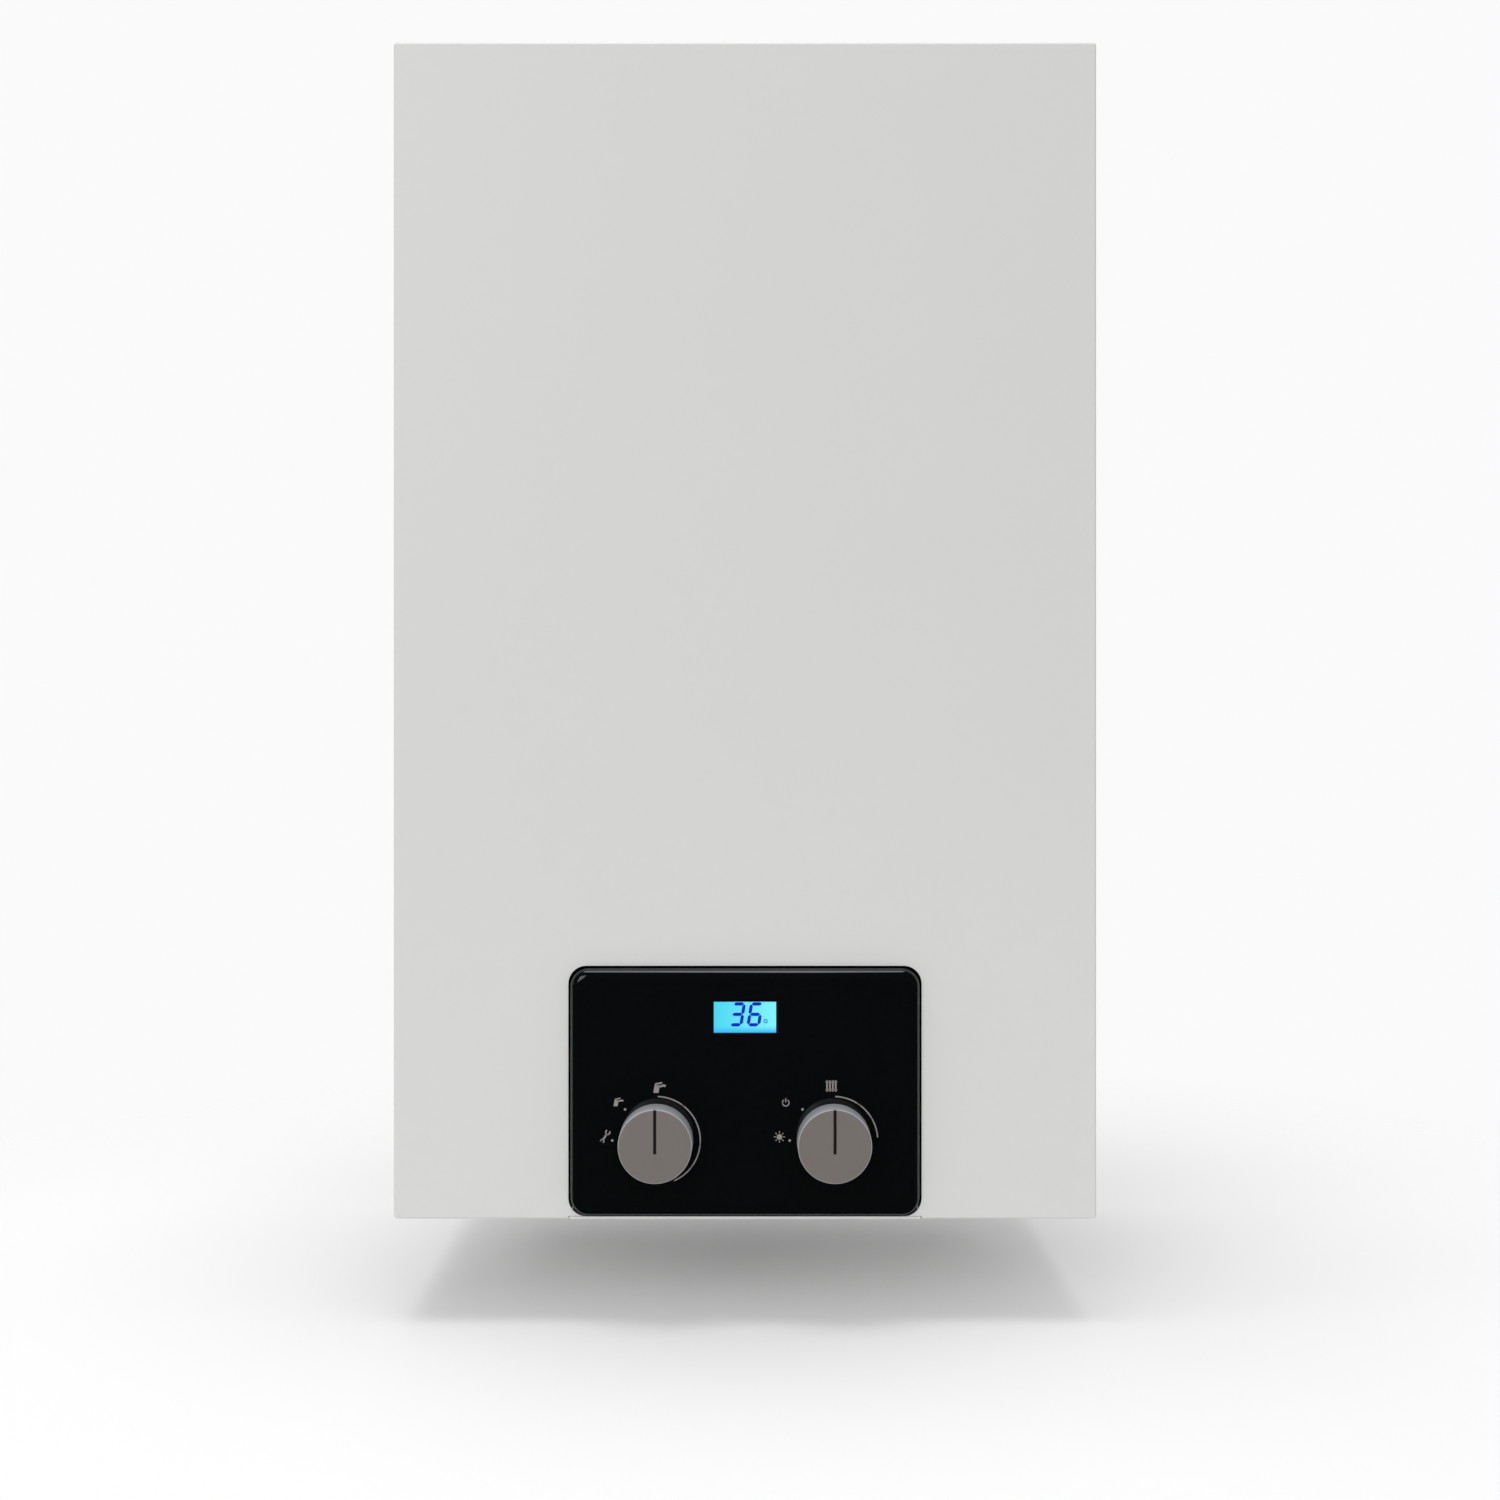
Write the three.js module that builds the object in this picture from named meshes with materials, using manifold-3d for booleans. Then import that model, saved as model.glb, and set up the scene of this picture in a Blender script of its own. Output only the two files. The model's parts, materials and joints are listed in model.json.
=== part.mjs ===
// A wall-hung condensing combi boiler, built as its separate pieces.
// Millimetres, +Z up. The wall is the plane Y = 0 and the front faces -Y. The origin is the middle of
// the wall bracket's rear face; the pieces are placed from the middle of the casing's lower rear edge.
import * as THREE from 'three';
import { mergeVertices } from 'three/addons/utils/BufferGeometryUtils.js';
import Module from 'manifold-3d';

const wasm = await Module();
wasm.setup();

// ---------------------------------------------------------------------------------------------
// Driving dimensions
// ---------------------------------------------------------------------------------------------

// Casing
const CASE_WIDTH = 430;
const CASE_HEIGHT = 720;
const CASE_DEPTH = 310;
const PANEL_SHEET = 1.2;
const PANEL_JOINT = 0.4; // between neighbouring panels
const WALL_GAP = 0.6; // between the casing's rear edges and the wall
const COVER_RETURN = 28; // depth of the front cover's folded edges
const COVER_SEAM = 0.8; // between the front cover and the panels behind it
const COVER_EDGE = 1.5; // bend radius round the front face
const COVER_CORNER = 2;
const PANEL_LIP = 10;
const LIP_END_GAP = 12;

// Back frame and wall bracket
const FRAME_SHEET = 1.5;
const FRAME_DEPTH = 16;
const BRACKET_DROP = 60; // from the casing's top to the middle of the bracket
const BRACKET_WIDTH = 260;
const BRACKET_HEIGHT = 46;
const BRACKET_SHEET = 2.5;
const BRACKET_SCREW_SPACING = 200;
const BRACKET_SCREW_RADIUS = 4;
const HOOK_SPACING = 140;
const HOOK_WIDTH = 30;
const HOOK_LIP = 14;
const HOOK_RISE = 11; // from the bracket's middle to the hook
const HOOK_CLEARANCE = 0.8;
const HOOK_SIDE_GAP = 5;
const HOOK_WINDOW_HEIGHT = 26;

// Control panel
const FASCIA_WIDTH = 213.7;
const FASCIA_HEIGHT = 150.9;
const FASCIA_LIFT = 2.8; // from the casing's lower edge to the fascia's
const FASCIA_PROUD = 6;
const FASCIA_DEPTH = 6.8;
const FASCIA_CORNER = 11;
const FASCIA_EDGE = 6;
const FASCIA_WALL = 2.2;
const FASCIA_CLEARANCE = 1.2; // round it, to the cover's notch and to the apron under it
const HINGE_SETBACK = 7; // from the fascia's front and lower edge to the tilt axis
const HINGE_PIN_RADIUS = 1.5;
const HINGE_PIN_REACH = 3.3; // into the control box
const HINGE_ARM_SHEET = 3;
const HINGE_ARM_HALF_WIDTH = 2.6;
const HINGE_ARM_NECK = 18;
const HINGE_ARM_ANGLE = 40; // of the neck above the horizontal, in degrees
const HINGE_ARM_REACH = 46;
const HINGE_LEG_WIDTH = 8;
const HINGE_FOOT_WIDTH = 16;
const HINGE_FOOT_LENGTH = 22;
const HINGE_FOOT_SHEET = 2;
const RUNNING_GAP = 0.4; // between pieces that only just clear each other
const BOX_DEPTH = 58;
const BOX_WALL = 2.2;
const BOX_INSET = 1.2; // inside the fascia's walls
const BOX_SWING_GAP = 3; // to the cover's cut-out when the box tilts out
const BOX_TUCK = 3; // how far the box reaches into the fascia
const WINDOW_WIDTH = 37.3;
const WINDOW_HEIGHT = 18.4;
const WINDOW_RISE = 121.4; // from the fascia's lower edge
const WINDOW_THICKNESS = 1.8;
const WINDOW_INSET = 0.2;
const WINDOW_JOINT = 0.3;
const DISPLAY_BORDER = 5;
const DISPLAY_THICKNESS = 4.5;
const BOARD_SIDE_GAP = 5;
const BOARD_HEIGHT = 128;
const BOARD_THICKNESS = 1.6;
const BOARD_SETBACK = 5; // from the tilt axis to the front of the board
const BOARD_RISE = 6;
const CHIP_BLOCK_HEIGHT = 22;

// Knobs
const KNOB_SPACING = 108;
const KNOB_RISE = 46.4; // from the fascia's lower edge
const KNOB_RADIUS = 22.5;
const KNOB_TAPER = 0.3;
const KNOB_HEIGHT = 19;
const KNOB_GAP = 0.6;
const KNOB_WALL = 2.4;
const KNOB_FACE_WALL = 3;
const KNOB_CHAMFER = 0.7;
const KNOB_HUB_RADIUS = 6;
const KNOB_BORE_DEPTH = 13;
const POINTER_WIDTH = 1.9;
const POINTER_DEPTH = 0.8;
const POINTER_PAST_CENTRE = 4.5;
const SHAFT_RADIUS = 3;
const SHAFT_CLEARANCE = 0.3;
const SHAFT_HOLE_RADIUS = 4;
const POT_SIZE = 17;
const POT_THICKNESS = 6;

// Expansion vessel
const VESSEL_RADIUS = 165;
const VESSEL_DEPTH = 82;
const VESSEL_DOME = 24;
const VESSEL_RIM = 5;
const VESSEL_DROP = 250; // from the casing's top to its middle
const VESSEL_HOSE_RADIUS = 5;

// Heat exchanger and burner
const EXCHANGER_RADIUS = 110;
const EXCHANGER_OFFSET = 45; // to the left of the middle
const EXCHANGER_DROP = 220; // from the casing's top to its axis
const EXCHANGER_GAP = 6; // to the expansion vessel
const EXCHANGER_BACK_WALL = 25;
const EXCHANGER_GROOVE = 4;
const CHAMBER_RADIUS = 45;
const DOOR_RADIUS = 88;
const DOOR_THICKNESS = 8;
const DOOR_STANDOFF = 4;
const BURNER_RADIUS = 32;
const BURNER_END_GAP = 22; // to the back of the combustion chamber
const BURNER_FLANGE = 3;
const BURNER_WALL = 1.5;
const ELECTRODE_RADIUS = 2.2;
const ELECTRODE_OFFSET = 40;
const ELECTRODE_REACH = 30;
const ELECTRODE_ANGLE = 120;
const ELECTRODE_CERAMIC_LENGTH = 22;
const ELECTRODE_CERAMIC_RADIUS = 4.5;
const PORT_SPACING = 35; // of the water ports from the exchanger's axis
const PORT_LENGTH = 14;

// Fan
const FAN_OFFSET = 110; // to the right of the middle
const FAN_DROP = 120; // from the casing's top to its axis
const FAN_RADIUS = 56;
const FAN_DEPTH = 40;
const FAN_WALL = 3;
const FAN_INLET_RADIUS = 22;
const MOTOR_RADIUS = 36;
const MOTOR_LENGTH = 22;
const MOTOR_FRONT_GAP = 3.8; // to the front cover
const IMPELLER_GAP = 5;
const IMPELLER_BLADES = 12;
const FAN_SHAFT_RADIUS = 4;
const FAN_SHAFT_HOLE_RADIUS = 6;
const IMPELLER_SHEET = 1.5;
const OUTLET_OFFSET = 30; // of the fan's outlet below its axis
const OUTLET_LENGTH = 72;
const DUCT_RADIUS = 19;
const DUCT_FLANGE_RADIUS = 30;
const DUCT_FLANGE_THICKNESS = 4;
const DUCT_WALL = 3;
const VENTURI_LENGTH = 45;
const VENTURI_THROAT = 13;
const VENTURI_BOSS_LENGTH = 34;
const VENTURI_BOSS_RADIUS = 9;
const SILENCER_SIZE = 80;
const SILENCER_VESSEL_GAP = 20;
const SILENCER_BORE = 18;
const SILENCER_CORNER = 10;

// Flue
const FLUE_SETBACK = 165; // from the wall to the flue's axis
const FLUE_PIPE_RADIUS = 30;
const FLUE_PIPE_WALL = 1.2;
const AIR_PIPE_RADIUS = 50;
const COLLAR_WALL = 2;
const COLLAR_HEIGHT = 30;
const COLLAR_FLANGE_RADIUS = 68;
const COLLAR_FLANGE_THICKNESS = 3;
const FLUE_SPIGOT_RISE = 30;
const FLUE_SPIGOT_ROOT = 40; // inside the exchanger
const FLUE_SPIGOT_GAP = 0.8;
const SHELF_DROP = 6; // the exchanger bracket's shelf, below the hooks
const SHELF_SHEET = 2;
const SHELF_FLANGE = 22;
const SHELF_SIDE = 60;
const SHELF_REACH = 30; // past the exchanger's middle
const FLUE_HOLE_GAP = 3;
const FLUE_HOLE_EDGE = 12;

// Water and gas connections
const CONNECTION_PITCH = 65;
const CONNECTION_SETBACK = 100; // from the wall
const NIPPLE_DROP = 35; // below the casing
const NIPPLE_TOP = 20;
const LARGE_THREAD_RADIUS = 13.2;
const SMALL_THREAD_RADIUS = 10.5;
const NIPPLE_WALL = 3.5;
const NIPPLE_HEX_HEIGHT = 10;
const NIPPLE_HEX_MARGIN = 4;
const PIPE_HOLE_CLEARANCE = 1.5;

// Hydraulic group
const BLOCK_WIDTH = 56;
const BLOCK_DEPTH = 60;
const DIVERTER_HEIGHT = 98;
const RETURN_BLOCK_HEIGHT = 78;
const ACTUATOR_SIZE = 46;
const ACTUATOR_HEIGHT = 60;
const STEM_RADIUS = 3;
const SPOOL_RADIUS = 8;
const SPOOL_LENGTH = 18;
const STEM_LENGTH = 92;
const STEM_RISE = 22; // from the diverter block's bottom to the spool
const STEM_BORE_DEPTH = 32; // in the actuator
const STEM_CLEARANCE = 1;
const PLATE_STACK_DEPTH = 76;
const PLATE_STACK_HEIGHT = 55;
const PLATE_STACK_RISE = 88;
const PLATE_COUNT = 11;
const PLATE_GROOVE = 1.5;
const PLATE_CORNER = 14;
const WATER_PIPE_RADIUS = 7.5;
const HEATING_PIPE_RADIUS = 9;
const GAS_PIPE_RADIUS = 7.5;
const GAS_TUBE_RADIUS = 5;
const PIPE_WALL = 1;
const PIPE_BEND = 26;
const FLOW_PIPE_ENTRY = 85;
const FLOW_PIPE_STANDOFF = 30; // in front of the diverter block
const PIPE_RUN_DROP = 76; // of the pipe runs below the exchanger's ports
const PIPE_RUN_SLOPE = 90;
const RETURN_RUN_SLOPE = 26;
const GAS_RUN_RISE = 62;
const GAS_RUN_LIFT = 18; // where it passes the siphon trap
const GAS_RUN_OFFSET = 40;
const PIPE_SPIGOT = 8;

// Pump
const PUMP_RADIUS = 48;
const PUMP_DEPTH = 48;
const PUMP_RISE = 190;
const PUMP_SIDE_GAP = 15;
const PUMP_WALL = 6;
const PUMP_MOTOR_RADIUS = 42;
const PUMP_MOTOR_LENGTH = 80;
const PUMP_SPIGOT_RADIUS = 14;
const PUMP_SPIGOT_LIP = 6; // its upright foot on the return block
const PUMP_INLET_OFFSET = 20.8; // to the left of the pump's axis
const PUMP_OUTLET_OFFSET = 15;
const PUMP_SETBACK = 60;
const PUMP_SHAFT_RADIUS = 4;
const PUMP_IMPELLER_GAP = 6;
const PUMP_BOSS_RISE = 12;
const PUMP_BLADES = 6;
const PUMP_EYE_RADIUS = 8;
const PUMP_IMPELLER_SHEET = 3;
const VENT_RADIUS = 9;
const VENT_HEIGHT = 24;
const VENT_CAP_RADIUS = 4.5;
const VENT_CAP_HEIGHT = 9.6;

// Taps and trap
const TAP_RADIUS = 11;
const TAP_LENGTH = 34;
const TAP_RISE = 60;
const RELIEF_KNOB_RADIUS = 16;
const RELIEF_KNOB_LENGTH = 18;
const RELIEF_KNOB_LOBES = 8;
const FILL_HANDLE_LENGTH = 34;
const FILL_HANDLE_WIDTH = 12;
const FILL_HANDLE_THICKNESS = 7;
const TRAP_OFFSET = 20; // to the left of the middle
const TRAP_SETBACK = 165;
const TRAP_RADIUS = 24;
const TRAP_HEIGHT = 118;
const TRAP_OUTLET_RADIUS = 10.5;
const TRAP_OUTLET_DROP = 22;
const HOSE_RADIUS = 9;
const GLAND_SIDE_GAP = 33.8; // from the left side panel to its middle
const GLAND_SETBACK = 225;
const GLAND_RADIUS = 9;
const GLAND_HEX_RADIUS = 13;
const GLAND_BORE_RADIUS = 4.5;
const GLAND_LENGTH = 12;

// Gas valve
const GAS_VALVE_OFFSET = 130;
const GAS_VALVE_SETBACK = 215;
const GAS_VALVE_RISE = 300;
const GAS_VALVE_SIZE = 60;
const GAS_VALVE_HEIGHT = 76;
const GAS_COIL_RADIUS = 17;
const GAS_COIL_LENGTH = 26;

// Facets of round pieces
const COARSE = 12;
const ROUND = 20;
const FINE = 32;
const PIPE_FACETS = 10;
const BEND_STEPS = 3;

// ---------------------------------------------------------------------------------------------
// Places that several pieces share
// ---------------------------------------------------------------------------------------------

const INNER_HALF_WIDTH = CASE_WIDTH / 2 - PANEL_SHEET;
const PANEL_FRONT = -(CASE_DEPTH - COVER_RETURN - COVER_SEAM);
const NOTCH_HALF_WIDTH = FASCIA_WIDTH / 2 + FASCIA_CLEARANCE;
const COVER_INNER = -(CASE_DEPTH - PANEL_SHEET);
const FRAME_FRONT = -FRAME_DEPTH;
const BRACKET_Z = CASE_HEIGHT - BRACKET_DROP;

const HINGE_Y = -(CASE_DEPTH + FASCIA_PROUD - HINGE_SETBACK);
const HINGE_Z = FASCIA_LIFT + HINGE_SETBACK;
const BOX_HALF_WIDTH = FASCIA_WIDTH / 2 - FASCIA_CORNER;
const HINGE_ARM_X = BOX_HALF_WIDTH + RUNNING_GAP;

const VESSEL_FRONT = FRAME_FRONT - RUNNING_GAP - VESSEL_DEPTH;
const VESSEL_Z = CASE_HEIGHT - VESSEL_DROP;

const MOTOR_FRONT = COVER_INNER + MOTOR_FRONT_GAP;
const FAN_FRONT = MOTOR_FRONT + MOTOR_LENGTH + RUNNING_GAP;
const FAN_REAR = FAN_FRONT + FAN_DEPTH;
const FAN_Z = CASE_HEIGHT - FAN_DROP;
const DUCT_Y = (FAN_FRONT + FAN_REAR) / 2;

const DOOR_FRONT = FAN_REAR + DOOR_STANDOFF;
const DOOR_REAR = DOOR_FRONT + DOOR_THICKNESS;
const EXCHANGER_FRONT = DOOR_REAR + RUNNING_GAP;
const EXCHANGER_REAR = VESSEL_FRONT - EXCHANGER_GAP;
const CHAMBER_BACK = EXCHANGER_REAR - EXCHANGER_BACK_WALL;
const EXCHANGER_X = -EXCHANGER_OFFSET;
const EXCHANGER_Z = CASE_HEIGHT - EXCHANGER_DROP;
const EXCHANGER_MIDDLE_Y = (EXCHANGER_FRONT + EXCHANGER_REAR) / 2;
const PORT_Z = EXCHANGER_Z - EXCHANGER_RADIUS - PORT_LENGTH;

const CONNECTION_Y = -CONNECTION_SETBACK;
const FLOW_X = -2 * CONNECTION_PITCH;
const HOT_X = -CONNECTION_PITCH;
const COLD_X = CONNECTION_PITCH;
const RETURN_X = 2 * CONNECTION_PITCH;
const BLOCK_BOTTOM = NIPPLE_TOP + RUNNING_GAP;
const PUMP_X = INNER_HALF_WIDTH - PUMP_SIDE_GAP - PUMP_RADIUS;
const FLUE_Y = -FLUE_SETBACK;

const GLAND_X = GLAND_SIDE_GAP - INNER_HALF_WIDTH;
const GAS_X = GAS_VALVE_OFFSET;
const GAS_Y = -GAS_VALVE_SETBACK;

// ---------------------------------------------------------------------------------------------
// Geometry helpers
// ---------------------------------------------------------------------------------------------

const point = (x, y, z) => new THREE.Vector3(x, y, z);

// The closed solid of a geometry, on its merged corners alone.
function toSolid(geometry) {
  const bare = geometry.clone();
  bare.deleteAttribute('normal');
  bare.deleteAttribute('uv');
  const merged = mergeVertices(bare);
  const corners = merged.index.array;
  const kept = [];
  for (let i = 0; i < corners.length; i += 3) {
    const [a, b, c] = [corners[i], corners[i + 1], corners[i + 2]];
    if (a !== b && b !== c && c !== a) kept.push(a, b, c);
  }
  const vertProperties = new Float32Array(merged.attributes.position.array);
  const mesh = new wasm.Mesh({ numProp: 3, vertProperties, triVerts: new Uint32Array(kept) });
  return new wasm.Manifold(mesh);
}

function toGeometry(solid) {
  const mesh = solid.getMesh();
  const geometry = new THREE.BufferGeometry();
  geometry.setAttribute('position', new THREE.BufferAttribute(new Float32Array(mesh.vertProperties), 3));
  geometry.setIndex(new THREE.BufferAttribute(new Uint32Array(mesh.triVerts), 1));
  geometry.computeVertexNormals();
  return geometry;
}

// The first geometry joined with all the others.
function join(...geometries) {
  return toGeometry(geometries.map(toSolid).reduce((whole, piece) => whole.add(piece)));
}

// The first geometry with all the others cut away.
function cut(...geometries) {
  return toGeometry(geometries.map(toSolid).reduce((whole, piece) => whole.subtract(piece)));
}

// A box between two corners, given in any order.
function block(cornerA, cornerB) {
  const size = point(...cornerB).sub(point(...cornerA));
  const middle = point(...cornerA).add(point(...cornerB)).multiplyScalar(0.5);
  const geometry = new THREE.BoxGeometry(Math.abs(size.x), Math.abs(size.y), Math.abs(size.z));
  return geometry.translate(middle.x, middle.y, middle.z);
}

// A cylinder between two points.
function rod(start, end, radius, facets = COARSE) {
  const along = end.clone().sub(start);
  const geometry = new THREE.CylinderGeometry(radius, radius, along.length(), facets);
  const turn = new THREE.Quaternion().setFromUnitVectors(point(0, 1, 0), along.clone().normalize());
  const middle = start.clone().add(end).multiplyScalar(0.5);
  return geometry.applyQuaternion(turn).translate(middle.x, middle.y, middle.z);
}

// Twice the area inside a profile, positive when it runs anticlockwise.
function windingOf(profile) {
  return profile.reduce((sum, [r, h], i) => {
    const [nextR, nextH] = profile[(i + 1) % profile.length];
    return sum + r * nextH - nextR * h;
  }, 0);
}

// A turned piece about the Y axis, from [radius, y] pairs that begin and end on the axis.
function turned(profile, facets = ROUND) {
  const ordered = windingOf(profile) < 0 ? [...profile].reverse() : profile;
  return new THREE.LatheGeometry(ordered.map(([r, h]) => new THREE.Vector2(r, h)), facets);
}

// A turned ring about the Y axis, from [radius, y] pairs that go once round its section.
function turnedRing(profile, facets = ROUND) {
  const ordered = windingOf(profile) < 0 ? [...profile].reverse() : profile;
  return turned([...ordered, ordered[0]], facets);
}

// The same with the axis upright: the profile's second number is then a height.
const upright = (geometry) => geometry.rotateX(Math.PI / 2);

// A tube's section between two radii and two heights.
const sleeve = (inner, outer, low, high) => [[inner, low], [outer, low], [outer, high], [inner, high]];

// A route of straight runs with its corners rounded.
function roundedRoute(points, bend) {
  const route = new THREE.CurvePath();
  let from = points[0];
  for (let i = 1; i < points.length - 1; i++) {
    const before = points[i - 1].clone().sub(points[i]);
    const after = points[i + 1].clone().sub(points[i]);
    const reach = Math.min(bend, before.length() / 2, after.length() / 2);
    const enter = points[i].clone().add(before.setLength(reach));
    const leave = points[i].clone().add(after.setLength(reach));
    route.add(new THREE.LineCurve3(from, enter));
    route.add(new THREE.QuadraticBezierCurve3(enter, points[i], leave));
    from = leave;
  }
  route.add(new THREE.LineCurve3(from, points[points.length - 1]));
  return route;
}

// Where a route is cut across: at the ends of its straight runs and a few times in each bend.
function stationsOf(route) {
  const stations = [[route.curves[0].getPoint(0), route.curves[0].getTangent(0)]];
  for (const curve of route.curves) {
    const steps = curve.isQuadraticBezierCurve3 ? BEND_STEPS : 1;
    for (let i = 1; i <= steps; i++) stations.push([curve.getPoint(i / steps), curve.getTangent(i / steps)]);
  }
  return stations;
}

// A hollow pipe through some points, with its corners bent.
function pipe(points, radius, wall) {
  const across = (radial, place) => radial.clone().add(place);
  const outer = [];
  const inner = [];
  const turn = new THREE.Quaternion();
  let heading = point(0, 0, 1);
  for (const [place, tangent] of stationsOf(roundedRoute(points, PIPE_BEND))) {
    turn.premultiply(new THREE.Quaternion().setFromUnitVectors(heading, tangent));
    heading = tangent;
    const radials = Array.from({ length: PIPE_FACETS }, (_, i) => {
      const angle = (i / PIPE_FACETS) * 2 * Math.PI;
      return point(Math.cos(angle), Math.sin(angle), 0).applyQuaternion(turn);
    });
    outer.push(radials.map((radial) => across(radial.clone().multiplyScalar(radius), place)));
    inner.unshift(radials.map((radial) => across(radial.clone().multiplyScalar(radius - wall), place)));
  }
  return loft([...outer, ...inner], true);
}

// A flat outline in (y, z), pulled along X from x0 to x1.
function pulledAlongX(outline, x0, x1) {
  const options = { depth: x1 - x0, bevelEnabled: false, curveSegments: 8 };
  const geometry = new THREE.ExtrudeGeometry(outline, options);
  const turn = new THREE.Matrix4().set(0, 0, 1, x0, 1, 0, 0, 0, 0, 1, 0, 0, 0, 0, 0, 1);
  return geometry.applyMatrix4(turn);
}

// The points of a rectangle with round corners, anticlockwise about the origin.
function roundedOutline(width, height, radius, steps) {
  const outline = [];
  for (let corner = 0; corner < 4; corner++) {
    const signX = corner === 0 || corner === 3 ? 1 : -1;
    const signY = corner < 2 ? 1 : -1;
    for (let i = 0; i <= steps; i++) {
      const angle = (corner + i / steps) * Math.PI / 2;
      const x = signX * (width / 2 - radius) + radius * Math.cos(angle);
      const y = signY * (height / 2 - radius) + radius * Math.sin(angle);
      outline.push(new THREE.Vector2(x, y));
    }
  }
  return outline;
}

// A closed solid through rings of points with the same count. It ends in a fan at each end, or
// runs back to its first ring.
function loft(rings, closesOnItself = false) {
  const count = rings[0].length;
  const positions = rings.flat().flatMap((p) => [p.x, p.y, p.z]);
  const index = [];
  const strips = closesOnItself ? rings.length : rings.length - 1;
  for (let ring = 0; ring < strips; ring++) {
    const following = (ring + 1) % rings.length;
    for (let i = 0; i < count; i++) {
      const next = (i + 1) % count;
      const [a, b] = [ring * count + i, ring * count + next];
      const [c, d] = [following * count + next, following * count + i];
      index.push(a, b, c, a, c, d);
    }
  }
  for (const ring of closesOnItself ? [] : [0, rings.length - 1]) {
    const middle = rings[ring].reduce((sum, p) => sum.add(p), point(0, 0, 0)).divideScalar(count);
    const hub = positions.length / 3;
    positions.push(middle.x, middle.y, middle.z);
    for (let i = 0; i < count; i++) {
      const [a, b] = [ring * count + i, ring * count + (i + 1) % count];
      index.push(...(ring === 0 ? [hub, b, a] : [hub, a, b]));
    }
  }
  const geometry = new THREE.BufferGeometry();
  geometry.setAttribute('position', new THREE.Float32BufferAttribute(positions, 3));
  geometry.setIndex(index);
  geometry.computeVertexNormals();
  return geometry;
}

// A slab that faces -Y with round corners and a soft front edge. Its back is at y = 0.
function softSlab(width, height, depth, corner, edge, cornerSteps, edgeSteps) {
  const ring = (inset, y) => roundedOutline(
    width - 2 * inset, height - 2 * inset, corner - inset, cornerSteps,
  ).map((p) => point(p.x, y, p.y));
  const rings = [ring(0, 0)];
  for (let i = 0; i <= edgeSteps; i++) {
    const angle = (i / edgeSteps) * Math.PI / 2;
    rings.push(ring(edge * (1 - Math.cos(angle)), -(depth - edge + edge * Math.sin(angle))));
  }
  return loft(rings);
}

const finish = (color, roughness, metalness = 0) => (
  new THREE.MeshStandardMaterial({ color, roughness, metalness })
);

const FINISH = {
  caseWhite: () => finish(0xe2e2e1, 0.45),
  zincSheet: () => finish(0xa9adb0, 0.45, 0.9),
  glossBlack: () => finish(0x0b0d0d, 0.12),
  greyPlastic: () => finish(0x55585a, 0.6),
  darkPlastic: () => finish(0x26282a, 0.55),
  whitePlastic: () => finish(0xd8d8d4, 0.5),
  knobMetal: () => finish(0x8d8986, 0.35, 0.8),
  display: () => finish(0x5be0f6, 0.3),
  clearPane: () => finish(0x6fe2f4, 0.08),
  circuitGreen: () => finish(0x1f5a38, 0.5),
  stainless: () => finish(0xb9bcbd, 0.3, 1),
  castAluminium: () => finish(0xa8aaab, 0.5, 0.9),
  brass: () => finish(0xb99552, 0.35, 1),
  copper: () => finish(0xb4714a, 0.35, 1),
  vesselGrey: () => finish(0x8d9396, 0.5),
  blackRubber: () => finish(0x1c1c1c, 0.85),
  redPlastic: () => finish(0xb3231c, 0.45),
  ceramic: () => finish(0xece8dc, 0.4),
};

function piece(name, geometry, material, position = [0, 0, 0]) {
  const mesh = new THREE.Mesh(geometry, material);
  mesh.name = name;
  mesh.position.set(...position);
  return mesh;
}

function groupAt(position, ...children) {
  const group = new THREE.Group();
  group.position.set(...position);
  group.add(...children);
  return group;
}

// A bar along Y with a round-cornered section.
function roundedBar(width, height, corner, rear, front, steps) {
  const ring = (y) => roundedOutline(width, height, corner, steps).map((p) => point(p.x, y, p.y));
  return loft([ring(rear), ring(front)]);
}

// ---------------------------------------------------------------------------------------------
// Casing
// ---------------------------------------------------------------------------------------------

// A steel plate screwed to the wall, with two upturned hooks. It is drawn about its own middle.
function wallBracket() {
  const half = BRACKET_WIDTH / 2;
  const lipRear = -(FRAME_DEPTH + HOOK_CLEARANCE);
  const lipFront = lipRear - BRACKET_SHEET;
  const plate = block([-half, 0, -BRACKET_HEIGHT / 2], [half, -BRACKET_SHEET, BRACKET_HEIGHT / 2]);
  const hooks = [-1, 1].flatMap((side) => {
    const left = side * HOOK_SPACING / 2 - HOOK_WIDTH / 2;
    const right = left + HOOK_WIDTH;
    const leg = block([left, -BRACKET_SHEET / 2, HOOK_RISE], [right, lipFront, HOOK_RISE + BRACKET_SHEET]);
    const lip = block([left, lipRear, HOOK_RISE], [right, lipFront, HOOK_RISE + HOOK_LIP]);
    return [leg, lip];
  });
  const holes = [-1, 1].map((side) => {
    const x = side * BRACKET_SCREW_SPACING / 2;
    return rod(point(x, BRACKET_SHEET, 0), point(x, -2 * BRACKET_SHEET, 0), BRACKET_SCREW_RADIUS);
  });
  return cut(join(plate, ...hooks), ...holes);
}

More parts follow.
